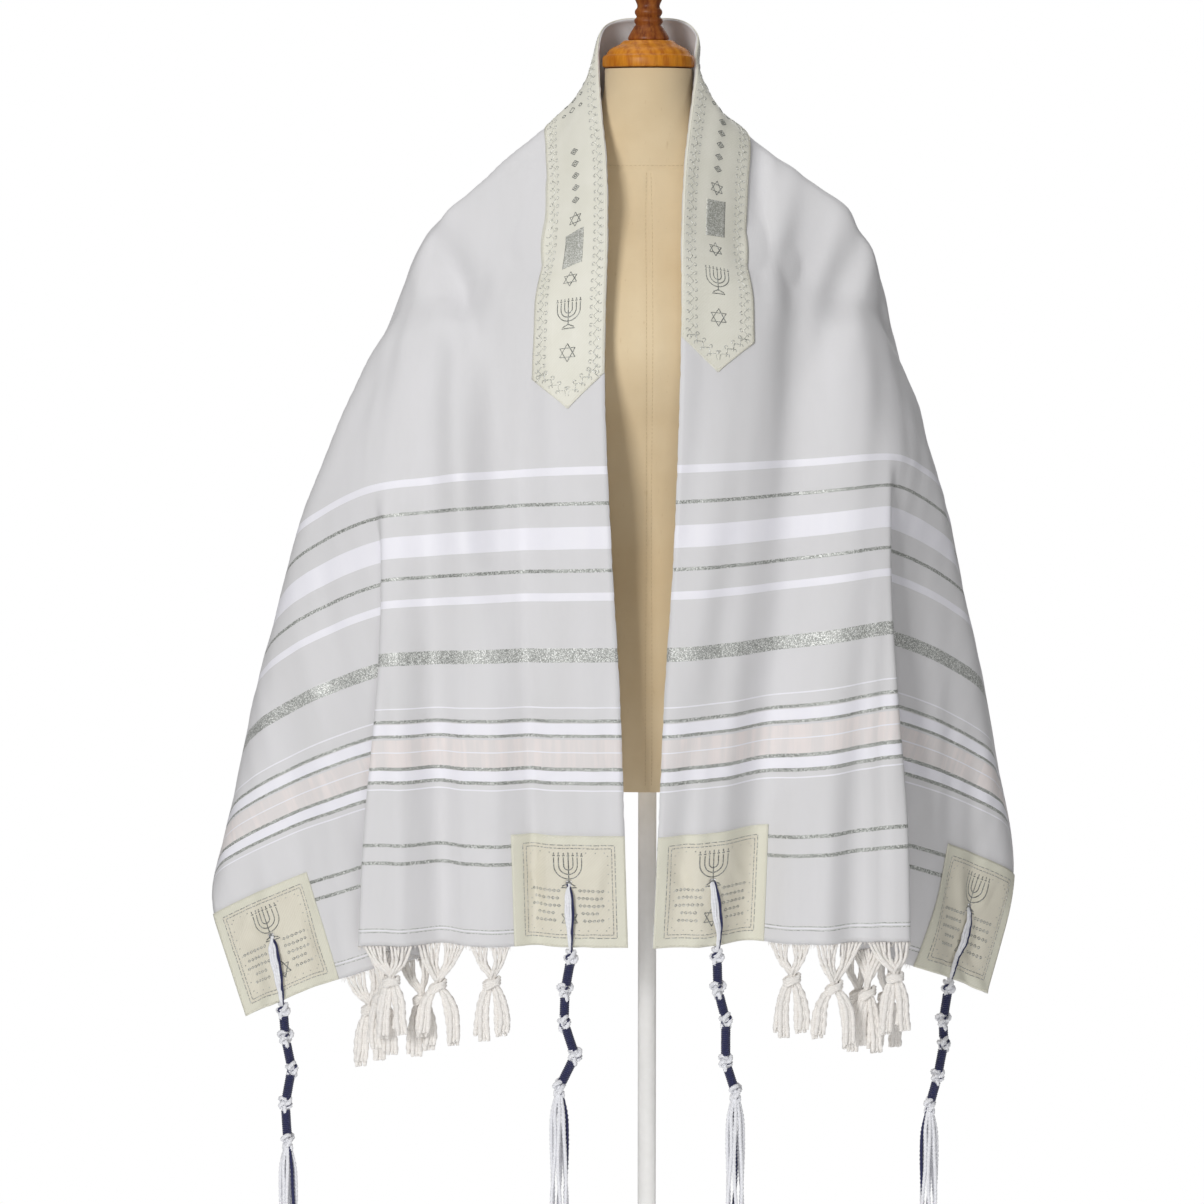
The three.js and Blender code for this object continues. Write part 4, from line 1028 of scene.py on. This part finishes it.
def embroider_neckband(pale_silver, dark_silver):
    border, panels, figures = Bundle(), Bundle(), Bundle()
    edging = Motif(border, NECKBAND_THREAD_AT, width=0.5, height=0.3)
    filling = Motif(panels, NECKBAND_THREAD_AT, width=0.5, height=0.35)
    motif = Motif(figures, NECKBAND_THREAD_AT, width=0.5, height=0.35)
    left, right, point = NECKBAND["left"], NECKBAND["right"], NECKBAND["point"]
    width, middle, inset = NECKBAND["width"], NECKBAND["width"] / 2, BORDER_INSET
    for v, inward in ((inset, 1), (width - inset, -1)):
        scroll_border(edging, -left - 2, v, right + 2, v, (0, inward))
    for sign, end in ((-1, left), (1, right)):
        lowest = end + point - inset * 1.35
        start = lowest - (middle - inset) * point / middle
        for v, inward in ((inset, 1), (width - inset, -1)):
            across = (-sign * TIP_ACROSS[0], inward * TIP_ACROSS[1])
            scroll_border(edging, sign * (start + 1), v, sign * lowest, middle, across)
    # The solid panel is filled with close slanting threads.
    panel = [[(-11, t), (11, t + 4)] for t in np.arange(-20, 20, 0.9)]
    for sign, end in ((-1, left), (1, right)):
        at = {key: (sign, end - up, middle) for key, up in NECKBAND_FIGURES.items()}
        motif.draw(at["lampstand"], lampstand(), 0.95)
        motif.draw(at["low_star"], star(9))
        motif.draw(at["middle_star"], star(8))
        filling.draw(at["panel"], panel)
        motif.draw(at["high_star"], star(8))
        for k in range(LOZENGES):
            up = NECKBAND_FIGURES["first_lozenge"] + LOZENGE_PITCH * k
            motif.draw((sign, end - up, middle), lozenge(9, 7) + lozenge(4, 3))
    reach, pitch = NECK_ROWS["reach"], NECK_ROWS["pitch"]
    for s in np.arange(-reach, reach + 1, pitch):
        for v, size in NECK_LOZENGES:
            for line in lozenge(*size):
                motif.sew([s + y for x, y in line], [v + x for x, y in line])
    return [rides(border.piece("neckband_border_thread", pale_silver), "brocade"),
            rides(panels.piece("neckband_panel_thread", pale_silver), "brocade"),
            rides(figures.piece("neckband_silver_thread", dark_silver), "brocade")]


def embroider_patch(corner, silver, dark_silver):
    sign, _ = CORNERS[corner]
    lines, figures = Bundle(), Bundle()
    motif = Motif(lines, PATCH_THREAD_AT, width=0.42, height=0.28)
    figure = Motif(figures, PATCH_THREAD_AT, width=0.6, height=0.35)
    middle = (sign, HALF_LENGTH - PATCH["along"] / 2, hole_of(corner)[1])
    for inset, pitch in PATCH_SQUARES:
        e = PATCH_FRAME - inset
        square = np.array([(-e, -e), (-e, e), (e, e), (e, -e), (-e, -e)])
        steps = int(2 * e / pitch)
        for a, b in zip(square, square[1:]):
            for k in range(steps):
                start, end = blend(a, b, (k + 0.08) / steps), blend(a, b, (k + 0.86) / steps)
                motif.draw(middle, [[start, end]])
    # A row of dots inside the squares.
    for t in np.arange(-36, 37, 9):
        for x, y in ((t, 39), (t, -39), (39, t), (-39, t)):
            motif.draw(middle, moved([[(-0.6, 0), (0.6, 0)]], x, y))
    figure.draw(middle, moved([np.asarray(line) * 1.1 for line in lampstand()], 0, 22))
    figure.draw(middle, moved(star(9), 0, -27))
    for y, clear, reach in PATCH_ROWS_OF_LOZENGES:
        for x in np.arange(-reach, reach + 1, PATCH_LOZENGE_PITCH):
            if abs(x) > clear:
                motif.draw(middle, moved(lozenge(3.1, 2.6), x, y))
    return [rides(lines.piece(f"patch_{corner}_silver_thread", silver), "brocade"),
            rides(figures.piece(f"patch_{corner}_figure_thread", dark_silver), "brocade")]


def stitch_line(bundle, s_from, v_from, s_to, v_to):
    """A line of short stitches on the brocade, each sunk at its ends."""
    length = math.hypot(s_to - s_from, v_to - v_from)
    count = int(length / (STITCH + STITCH_GAP))
    for k in range(count):
        a, b = (k + 0.15) / count, (k + 0.15 + STITCH / (STITCH + STITCH_GAP)) / count
        t = np.array([a, (a + b) / 2, b])
        s, v = blend(s_from, s_to, t), blend(v_from, v_to, t)
        lift = np.array([-0.1, 0.12, -0.1]) + NECKBAND_THREAD_AT
        bundle.tube(on_cloth(s, v, lift), [0.16, 0.26, 0.16], sides=4)


def make_stitches(material):
    bundle = Bundle()
    left, right, point, width = (NECKBAND[key] for key in ("left", "right", "point", "width"))
    edges = (STITCH_INSET, width - STITCH_INSET)
    for v in edges:
        stitch_line(bundle, -left, v, right, v)
    for sign, end in ((-1, left), (1, right)):
        for v in edges:
            stitch_line(bundle, sign * end, v, sign * (end + point - 2), width / 2)
    for sign, far in CORNERS.values():
        near = CLOTH_WIDTH - PATCH["across"] if far else 0
        u0, u1 = HALF_LENGTH - PATCH["along"] + STITCH_INSET, HALF_LENGTH - STITCH_INSET
        v0, v1 = near + STITCH_INSET, near + PATCH["across"] - STITCH_INSET
        square = ((u0, v0), (u0, v1), (u1, v1), (u1, v0), (u0, v0))
        for a, b in zip(square, square[1:]):
            stitch_line(bundle, sign * a[0], a[1], sign * b[0], b[1])
    return rides(bundle.piece("sewing_stitches", material), "brocade")


# ---------------------------------------------------------------- tassels and fringe

# Each tassel: shift of its loop along the hem, then the sway and drop of its five knots.
TASSELS = {
    "inner_left": (0, (0, -6, -7, 4, -12), (0, 34, 66, 100, 133)),
    "far_left": (10, (0, 2, 8, 1, 3), (0, 29, 61, 98, 137)),
    "inner_right": (8, (0, 1, 9, 9, 19), (0, 34, 65, 108, 139)),
    "far_right": (-4, (0, -5, -4, -10, -18), (0, 35, 59, 94, 125)),
}
# Which of a tassel's loose strands is the navy one.
NAVY_STRAND = {"inner_left": 0, "far_left": 7, "inner_right": 2, "far_right": 4}
LOOP_HANG = 11
# The loop's four yarns: how far each lies to the side; the last is navy.
LOOP_YARNS = (-4.0, -1.4, 1.2, 3.8)
YARN = 1.5
LOOP_RINGS = 70
KNOT_SIZE = 6.2
KNOT_YARN = 2.1
KNOT_STEPS = 46
NAVY_KNOT_YARN = 1.3
# The windings: clear of a knot's middle, radius of the core, radius and yarn of the coil, and
# the length that one turn takes.
WINDING = {"clear": 6.6, "core": 3.5, "coil": 3.9, "yarn": 1.08, "pitch": 2.0, "steps": 12}
STRANDS = 8
STRAND_LENGTH = 200
STRAND_UNEVEN = 10
STRAND_RINGS = 90
# A strand's radius at its root and at its end, and its reach outwards at shares of its length.
STRAND_YARN = (1.9, 1.65)
STRAND_REACH = {"at": (0, 0.08, 0.5, 1), "out": (1.5, 6.0, 7.5, 9.5)}


def knot_path(middle, size, turn):
    """An overhand knot pulled tight round a cord."""
    t = np.linspace(0, 2 * math.pi, KNOT_STEPS)
    x = np.sin(t) + 2 * np.sin(2 * t)
    y = np.cos(t) - 2 * np.cos(2 * t)
    z = -np.sin(3 * t) * 1.15
    a, b = math.cos(turn), math.sin(turn)
    shape = np.stack([x * a - z * b, x * b + z * a, y], -1)
    return middle + shape * size / 3 * MM


def tie_loop(corner, top, pale, dark):
    """Four yarns up the cloth's back from `top`, through the patch's hole and down its face."""
    sign, _ = CORNERS[corner]
    shift = TASSELS[corner][0]
    hole_s, hole_v = hole_of(corner)
    t = np.linspace(0, 1, 7)
    u = HALF_LENGTH - PATCH["hole_up"] * (1 - t)
    narrowing = np.sin(math.pi * (0.12 + 0.88 * t)) * (1 - 0.3 * t)
    for k, place in enumerate(LOOP_YARNS):
        v = hole_v + shift * t + sign * place * narrowing
        bow = BROCADE_TOP + YARN + 0.3 + 1.6 * np.sin(math.pi * t) + (0.5 if k % 2 else 0)
        front = on_cloth(sign * u, v, bow)
        behind = on_cloth(sign * u[::-1], v[::-1], -(CLOTH_WALL / 2 + YARN + 0.4))
        through = on_cloth(hole_s, hole_v + place * 0.4, np.array([-0.6, 0.8]))
        path = np.concatenate([[top], behind[1:-1], through, front[1:-1], [top]])
        bundle = dark if k == len(LOOP_YARNS) - 1 else pale
        bundle.tube(curve_through(path, LOOP_RINGS), YARN, sides=8, lobes=2, turns=240)


def tie_knots(knots, pale, dark):
    """Double knots of white yarn, each with a short end of navy over it."""
    for k, knot in enumerate(knots):
        size = KNOT_SIZE + 0.5 * ((k * 2) % 3)
        for j in range(2):
            middle = knot + np.array([0, 0, (j - 0.5) * 4.8]) * MM
            path = knot_path(middle, size, k * 1.3 + j * 2.2)
            pale.tube(path, KNOT_YARN, sides=8, lobes=3, turns=120)
        end = knot_path(knot, size * 0.92, k * 0.9 + 4)[: 20 + 3 * k]
        dark.tube(end, NAVY_KNOT_YARN, sides=7, lobes=2, turns=200)


def wind_between(knots, pale, dark):
    """Navy yarn wound closely round a white core, from each knot to the next."""
    for a, b in zip(knots, knots[1:]):
        ahead = (b - a) / np.linalg.norm(b - a)
        clear = ahead * WINDING["clear"] * MM
        start, end = a + clear, b - clear
        pale.tube([start, (start + end) / 2, end], WINDING["core"], sides=8)
        turns = np.linalg.norm(end - start) / MM / WINDING["pitch"]
        t = np.linspace(0, 1, int(turns * WINDING["steps"]))
        side = np.cross(ahead, [0, 1.0, 0])
        side /= np.linalg.norm(side)
        other = np.cross(ahead, side)
        angle = t * turns * 2 * math.pi
        round_it = np.outer(np.cos(angle), side) + np.outer(np.sin(angle), other)
        path = start + np.outer(t, end - start) + round_it * WINDING["coil"] * MM
        dark.tube(path, WINDING["yarn"], sides=6)


def hang_strands(corner, last, pale, dark):
    """Loose strands below the last knot, each a little shorter and wavier than the next."""
    for i in range(STRANDS):
        angle = i / STRANDS * 2 * math.pi
        length = STRAND_LENGTH - STRAND_UNEVEN * ((i * 3) % 4)
        t = np.linspace(0, 1, 9)
        reach = smooth_value(STRAND_REACH["at"], STRAND_REACH["out"], t)
        wave = np.sin(t * 8 + i * 2.4) * 2.6 * t ** 0.7
        x = np.cos(angle) * reach + wave
        y = np.sin(angle) * reach * 0.8 + np.cos(t * 7 + i) * 1.2 * t
        path = last + np.stack([x, y, -length * t - 2], -1) * MM
        bundle = dark if i == NAVY_STRAND[corner] else pale
        radius = np.linspace(*STRAND_YARN, STRAND_RINGS)
        bundle.tube(curve_through(path, STRAND_RINGS), radius, sides=8, lobes=2, turns=120)


def make_tassel(corner, white, navy):
    sign, _ = CORNERS[corner]
    shift, sway, drop = TASSELS[corner]
    top = past_hem(sign, hole_of(corner)[1] + shift, 0) + np.array([0, 0, -LOOP_HANG]) * MM
    knots = [top + np.array([a, 0, -b]) * MM for a, b in zip(sway, drop)]
    pale, dark = Bundle(), Bundle()
    tie_loop(corner, top, pale, dark)
    tie_knots(knots, pale, dark)
    wind_between(knots, pale, dark)
    hang_strands(corner, knots[-1], pale, dark)
    pale_piece = rides(pale.piece(f"tassel_{corner}_white", white), "tassel_wool", f"tzitzit_{corner}")
    dark_piece = rides(dark.piece(f"tassel_{corner}_navy", navy), "tassel_wool")
    return [pale_piece, dark_piece]


# Groups of fringe along a hem: place and half width on the hem, drop and sway of the knot, fan.
FRINGE_GROUPS = (
    (138, 20, 33, 2, 12), (187, 24, 42, -5, 18), (240, 25, 33, 3, 10),
    (302, 22, 44, -4, 9), (360, 22, 38, 4, 9), (416, 22, 37, 2, 11),
)
# Each half of a group: where its yarns lie, across and in depth.
FRINGE_CLUSTER = (
    (-4.2, 0.6), (-1.8, -2.4), (-1.5, 2.2), (1.2, -0.6), (2.1, 2.6), (4.3, -0.4),
)
FRINGE_ROOT = 3.2
# A tail's length, and the share it loses to its side and to each millimetre of sway.
FRINGE_TAIL = 62
TAIL_LOSS = 0.12
SWAY_LOSS = 0.125
# Below the knot: share of the tail's length, share of the fan, and looseness of the cluster.
FRINGE_TAIL_PLACES = ((0.14, 0.42, 0.7), (0.4, 0.72, 1.0), (0.72, 0.84, 1.1), (1, 0.86, 1.3))
# A yarn's radius at shares of its length: thin in the knot and fuller in the tail.
FRINGE_YARN = {"at": (0, 0.25, 0.42, 0.6, 0.93, 1), "radius": (1.3, 1.9, 1.6, 2.4, 2.45, 1.7)}
FRINGE_RINGS = 54
FRINGE_TWIST = {"sides": 8, "lobes": 3, "turns": 34}
# The wrap round a group's knot: half width, half depth, yarn, and distance between its turns.
FRINGE_WRAP = {"wide": 7.4, "deep": 5.6, "yarn": 1.9, "pitch": 2.3}
# Short frayed ends along the hem, clear of the patches.
FRAYS = 260
FRAY_CLEAR = 3
FRAY_RADIUS = (0.34, 0.3, 0.18)


def fringe_yarn(sign, group, side, k, knot):
    """One yarn of a group, from the hem into the knot and down as its tail."""
    number, v, half, sway, fan = group
    out, deep = FRINGE_CLUSTER[k]
    seed = 3.1 * k + 1.7 * number + 0.8 * side
    uneven = math.sin(seed)
    share = (k + 0.5) / len(FRINGE_CLUSTER)
    inward = share if side > 0 else 1 - share
    root = past_hem(sign, v + sign * side * half * (0.06 + 0.94 * inward), 0.6, 0.5 * uneven)
    above = blend(root, knot, 0.5) + np.array([side * (2.6 + 1.2 * uneven), 0.7 * deep, 1.5]) * MM
    entry = knot + np.array([-side * 0.4 + out * 0.45, deep * 0.8, 4.5]) * MM
    middle = knot + np.array([side * 1.2 + out * 0.4, deep * 0.9 - 1.2 * side, 0]) * MM
    length = FRINGE_TAIL * (1 - TAIL_LOSS * abs(side + sway * SWAY_LOSS)) + 3.4 * uneven
    path = [root, above, entry, middle]
    for down, apart, loose in FRINGE_TAIL_PLACES:
        wave = 1.3 * down * math.sin(6 * down + seed)
        x = side * fan * apart + out * loose + wave
        path.append(knot + np.array([x, deep * loose + wave * 0.6, -length * down]) * MM)
    return path


def make_fringe_yarns(sign):
    """Each group is two thick halves that meet in a knot and part again below it."""
    bundle = Bundle()
    share = np.linspace(0, 1, FRINGE_RINGS)
    radius = smooth_value(FRINGE_YARN["at"], FRINGE_YARN["radius"], share)
    angle = np.linspace(0, 2 * math.pi, 30)
    for number, (v, half, drop, sway, fan) in enumerate(FRINGE_GROUPS):
        knot = past_hem(sign, v, FRINGE_ROOT) + np.array([sway, 0, -drop]) * MM
        group = (number, v, half, sway, fan)
        for side in (-1, 1):
            for k in range(len(FRINGE_CLUSTER)):
                path = fringe_yarn(sign, group, side, k, knot)
                bundle.tube(curve_through(path, FRINGE_RINGS), radius, **FRINGE_TWIST)
        tilt = 0.5 * math.sin(2.3 * number)
        for j in (-1, 0, 1):
            x, y = FRINGE_WRAP["wide"] * np.cos(angle), FRINGE_WRAP["deep"] * np.sin(angle)
            z = j * FRINGE_WRAP["pitch"] + x * (0.35 + tilt * 0.4) + 0.8 * np.sin(3 * angle + j)
            path = knot + np.stack([x, y, z], -1) * MM
            bundle.tube(path, FRINGE_WRAP["yarn"], **FRINGE_TWIST)
    return bundle


def make_frays(sign):
    bundle = Bundle()
    clear = PATCH["across"] + FRAY_CLEAR
    for k in range(FRAYS):
        v = clear + (CLOTH_WIDTH - 2 * clear) * (k + 0.5) / FRAYS
        reach = 3.2 + 1.5 * math.sin(2.9 * k) + 1.1 * math.sin(7.7 * k)
        lean = 1.4 * math.sin(4.3 * k)
        root = past_hem(sign, v, -1)
        middle = past_hem(sign, v + 0.4 * lean, 0.5 * reach, 0.4)
        tip = past_hem(sign, v + lean, reach, 0.8 * math.sin(5.1 * k))
        bundle.tube([root, middle, tip], FRAY_RADIUS, sides=3)
    return bundle


def make_fringe(name, sign, wool):
    yarns = make_fringe_yarns(sign).piece(f"{name}_yarns", wool)
    frays = make_frays(sign).piece(f"{name}_frays", wool)
    return [rides(yarns, "fringe_wool", name), rides(frays, "fringe_wool")]


# ---------------------------------------------------------------- dress form and stand

FORM_SIDES = 96
# The form's rings: evenly up the torso, close together at the neck's seam, evenly up the neck.
FORM_LEVELS = np.concatenate([
    np.linspace(FORM_BOTTOM + 1.2, NECK_SEAM - 6, 66),
    NECK_SEAM + np.array([-2.4, -0.9, 0, 0.9, 2.4, 6]),
    np.linspace(NECK_SEAM + 10, NECK_TOP - 1, 16),
])
# Upright seams, as angles round the form, and their depth; the neck's seam and its depth.
UPRIGHT_SEAMS = (0, math.pi / 2, math.pi, 3 * math.pi / 2)
UPRIGHT_SEAM_DEPTH = 0.7
NECK_SEAM_DEPTH = 0.6
# Stitches beside the seams: pitch, length, and angle or height off the seam.
FORM_STITCH = {"pitch": 4.2, "length": 2.8, "beside": 0.019, "round": 150, "above": 4.2}
FORM_STITCH_RADIUS = (0.12, 0.2, 0.12)


def on_form(angle, z, out):
    """A place `out` millimetres outside the form, in metres."""
    section = {key: float(value) for key, value in torso_section(z).items()}
    reach = section["front"] if math.sin(angle) < 0 else section["back"]
    x = (section["half"] + out) * math.cos(angle)
    return np.array([x, section["middle"] + (reach + out) * math.sin(angle), z]) * MM


def turned_by(angle):
    """An angle as a turn between minus half and half a circle."""
    return (angle + math.pi) % (2 * math.pi) - math.pi


def make_form(material):
    """The torso: a drum cut into rings, each ring shaped to its section, with sunk seams."""
    deselect()
    bpy.ops.mesh.primitive_circle_add(vertices=FORM_SIDES, radius=0.1, fill_type="NOTHING")
    form = bpy.context.object
    form.name = "form_jersey"
    choose(form)
    bpy.ops.object.mode_set(mode="EDIT")
    bpy.ops.mesh.select_all(action="SELECT")
    ring_step = 0.01
    for _ in FORM_LEVELS[1:]:
        bpy.ops.mesh.extrude_region_move(TRANSFORM_OT_translate={"value": (0, 0, ring_step)})
    shape = bmesh.from_edit_mesh(form.data)
    for vert in shape.verts:
        level = FORM_LEVELS[round(vert.co.z / ring_step)]
        angle = math.atan2(vert.co.y, vert.co.x) % (2 * math.pi)
        nearest = min(UPRIGHT_SEAMS, key=lambda seam: abs(turned_by(angle - seam)))
        away = turned_by(angle - nearest)
        angle = nearest + away * (abs(away) / (math.pi / 4)) ** 0.5
        sunk = UPRIGHT_SEAM_DEPTH * math.exp(-(away * 26) ** 2) * (level < NECK_SEAM)
        sunk += NECK_SEAM_DEPTH * math.exp(-((level - NECK_SEAM) / 1.4) ** 2)
        ease = 1.2 * max(0.0, 1 - (level - FORM_BOTTOM) / 3)
        vert.co = on_form(angle, level, -sunk - ease)
    bmesh.update_edit_mesh(form.data)
    bpy.ops.mesh.select_all(action="DESELECT")
    bpy.ops.mesh.select_non_manifold()
    bpy.ops.mesh.fill_holes(sides=0)
    bpy.ops.mesh.select_all(action="SELECT")
    bpy.ops.mesh.normals_make_consistent(inside=False)
    bpy.ops.object.mode_set(mode="OBJECT")
    bpy.ops.object.shade_smooth_by_angle(angle=math.radians(40))
    form.data.materials.append(material)
    return rides(form, "jersey", "dress_form")


def make_seam_stitches(material):
    """Fine stitches beside the sunk seams of the form."""
    bundle = Bundle()
    length, count = FORM_STITCH["length"], FORM_STITCH["round"]
    rise = ((0, 0.1), (length / 2, 0.2), (length, 0.1))
    for centre in (-math.pi / 2, math.pi / 2):
        for z in np.arange(FORM_BOTTOM + 8, NECK_SEAM - 4, FORM_STITCH["pitch"]):
            for side in (-1, 1):
                angle = centre + side * FORM_STITCH["beside"]
                path = [on_form(angle, z + up, out) for up, out in rise]
                bundle.tube(path, FORM_STITCH_RADIUS, sides=4)
    along = ((0, 0.1), (0.013, 0.2), (0.026, 0.1))
    for step in range(count):
        angle = step / count * 2 * math.pi
        path = [on_form(angle + t, NECK_SEAM + FORM_STITCH["above"], out) for t, out in along]
        bundle.tube(path, FORM_STITCH_RADIUS, sides=4)
    return rides(bundle.piece("form_seam_stitches", material), "jersey")


# Profiles of the turned pieces: radius and height. The cap's and the finial's heights count from
# their own foot, the base's and the pole's from the floor.
CAP_PROFILE = (
    (0.5, 0.3), (44.5, 0), (46, 0.8), (46.6, 2.4), (46.6, 8.6), (46, 10.6), (45, 11.8), (43.4, 12.3),
    (42.4, 13.4), (41.6, 15.2), (39.6, 17.6), (36.4, 19.8), (32.6, 21.6), (29.4, 23), (27.6, 24.6),
    (26, 26.2), (24.5, 27), (0.5, 27),
)
FINIAL_PROFILE = (
    (0.5, 0), (19.8, 0), (20.7, 0.9), (20.8, 2.2), (19.9, 4.6), (18.3, 7.5), (16, 11.2), (14.3, 14),
    (13, 15.3), (13.1, 16.2), (14.2, 17.8), (14.6, 19.5), (14.2, 21), (12.6, 22.6), (12, 23.6),
    (12.8, 25), (13.8, 26.6), (14, 28.2), (13.6, 30), (11.9, 32), (11.3, 33.6), (11.6, 35.6),
    (13, 38.9), (14.9, 43), (16.4, 47.4), (17.4, 52), (17.7, 56.6), (17.2, 61.2), (15.6, 65.8),
    (12.8, 69.6), (9, 72.8), (4.6, 74.9), (0.5, 75.5),
)
BASE_PROFILE = (
    (0.5, 0), (143.5, 0), (144.6, 0.6), (145, 1.8), (145, 5.4), (144.4, 6.8), (143, 7.7), (140.5, 8),
    (0.5, 8),
)
POLE_PROFILE = (
    (0.5, 8.3), (9.5, 8.3), (9.5, 10), (9.5, 60), (9.5, 640), (9.5, 710), (9.5, 718.7), (0.5, 718.7),
)
CAP_BOTTOM = NECK_TOP + SEAM
FINIAL_BOTTOM = CAP_BOTTOM + CAP_PROFILE[-1][1] + SEAM


def turn_on_lathe(name, profile, bottom, material, slot, *nodes, steps=72):
    """A turned piece: its profile is extruded point by point and spun about the upright axis."""
    deselect()
    bpy.ops.mesh.primitive_circle_add(vertices=3, radius=0.001)
    obj = bpy.context.object
    obj.name = name
    choose(obj)
    bpy.ops.object.mode_set(mode="EDIT")
    bpy.ops.mesh.select_all(action="SELECT")
    bpy.ops.mesh.delete(type="VERT")
    shape = bmesh.from_edit_mesh(obj.data)
    verts = [shape.verts.new((r * MM, 0, (bottom + up) * MM)) for r, up in profile]
    for a, b in zip(verts, verts[1:]):
        shape.edges.new((a, b))
    bmesh.update_edit_mesh(obj.data)
    bpy.ops.mesh.select_all(action="SELECT")
    bpy.ops.mesh.spin(steps=steps, angle=2 * math.pi, center=(0, 0, 0), axis=(0, 0, 1))
    bpy.ops.mesh.select_all(action="SELECT")
    bpy.ops.mesh.remove_doubles(threshold=1e-5)
    bpy.ops.mesh.select_all(action="DESELECT")
    bpy.ops.mesh.select_non_manifold()
    bpy.ops.mesh.fill_holes(sides=0)
    bpy.ops.mesh.select_all(action="SELECT")
    bpy.ops.mesh.normals_make_consistent(inside=False)
    bpy.ops.object.mode_set(mode="OBJECT")
    bpy.ops.object.shade_smooth_by_angle(angle=math.radians(35))
    obj.data.materials.append(material)
    return rides(obj, slot, *nodes)


def make_floor():
    """A round of floor that grows as white as the backdrop towards its rim."""
    just_under = (0, 0, -0.0005)
    bpy.ops.mesh.primitive_circle_add(vertices=96, radius=0.8, fill_type="NGON", location=just_under)
    floor = bpy.context.object
    floor.name = "floor"
    f = Finish("plain_floor", roughness=0.8)
    mottle = f.noise(f.object(), 2.0, 2)
    f.colour(f.mix(f.range(mottle, 0.3, 0.7), shade("F7F7F7"), shade("FAFAFA")))
    reach = f.add("VectorMath", {0: f.object()}, operation="LENGTH").outputs["Value"]
    f.shader.inputs["Emission Color"].default_value = (1, 1, 1, 1)
    f.drive("Emission Strength", f.range(reach, 0.2, 0.75, 0.1, 1.0))
    floor.data.materials.append(f.material)


# ---------------------------------------------------------------- the whole


def build():
    add_camera()
    add_studio()
    make_floor()

    cloth_material = cloth_finish()
    band_material = brocade_finish("neckband_brocade", "E3E1D3", "EAE8DC")
    patch_material = brocade_finish("patch_brocade", "DBD5C4", "E2DDCC", "DFDDCC")
    silver = thread_finish("silver_thread", "8C8E89", "DCDDDA", 0.4, 0.4)
    dark_silver = thread_finish("dark_silver_thread", "6C6E6A", "BFC1BD", 0.4, 0.4)
    pale_silver = thread_finish("pale_silver_thread", "B9BAB0", "F8F8F4", 0.35, 0.35)
    cream_thread = thread_finish("cream_thread", "E6E2CF", "F2EFE0", 0.0, 0.6)
    white = wool_finish("white_wool", "E0E1E6", "F6F6FA")
    navy = wool_finish("navy_wool", "16183C", "262B5C")
    fringe_wool = wool_finish("fringe_wool", "EAE5DF", "FBF8F4")

    shawl = make_cloth(cloth_material)
    trims = [make_neckband(band_material)]
    trims += [make_patch(corner, patch_material) for corner in CORNERS]
    trims += embroider_neckband(pale_silver, dark_silver)
    for corner in CORNERS:
        trims += embroider_patch(corner, silver, dark_silver)
    trims.append(make_stitches(cream_thread))
    for corner in CORNERS:
        trims += make_tassel(corner, white, navy)
    trims += make_fringe("fringe_left", -1, fringe_wool)
    trims += make_fringe("fringe_right", 1, fringe_wool)

    form = make_form(jersey_finish())
    make_seam_stitches(thread_finish("seam_thread", "CDB68E", "DCC7A2", 0.0, 0.7))
    pale_wood = wood_finish("golden_wood", "B4660A", "CC7E12", "DC942A", 0.06)
    dark_wood = wood_finish("red_brown_wood", "6C300A", "8A4814", "A66426", 0.1)
    lacquer = lacquer_finish()
    turn_on_lathe("cap_golden_wood", CAP_PROFILE, CAP_BOTTOM, pale_wood, "pale_wood", "neck_cap")
    turn_on_lathe("finial_dark_wood", FINIAL_PROFILE, FINIAL_BOTTOM, dark_wood, "dark_wood", "finial")
    turn_on_lathe("pole_lacquer", POLE_PROFILE, 0, lacquer, "lacquer", "stand_pole", steps=48)
    turn_on_lathe("base_lacquer", BASE_PROFILE, 0, lacquer, "lacquer", "stand_base", steps=96)


build()
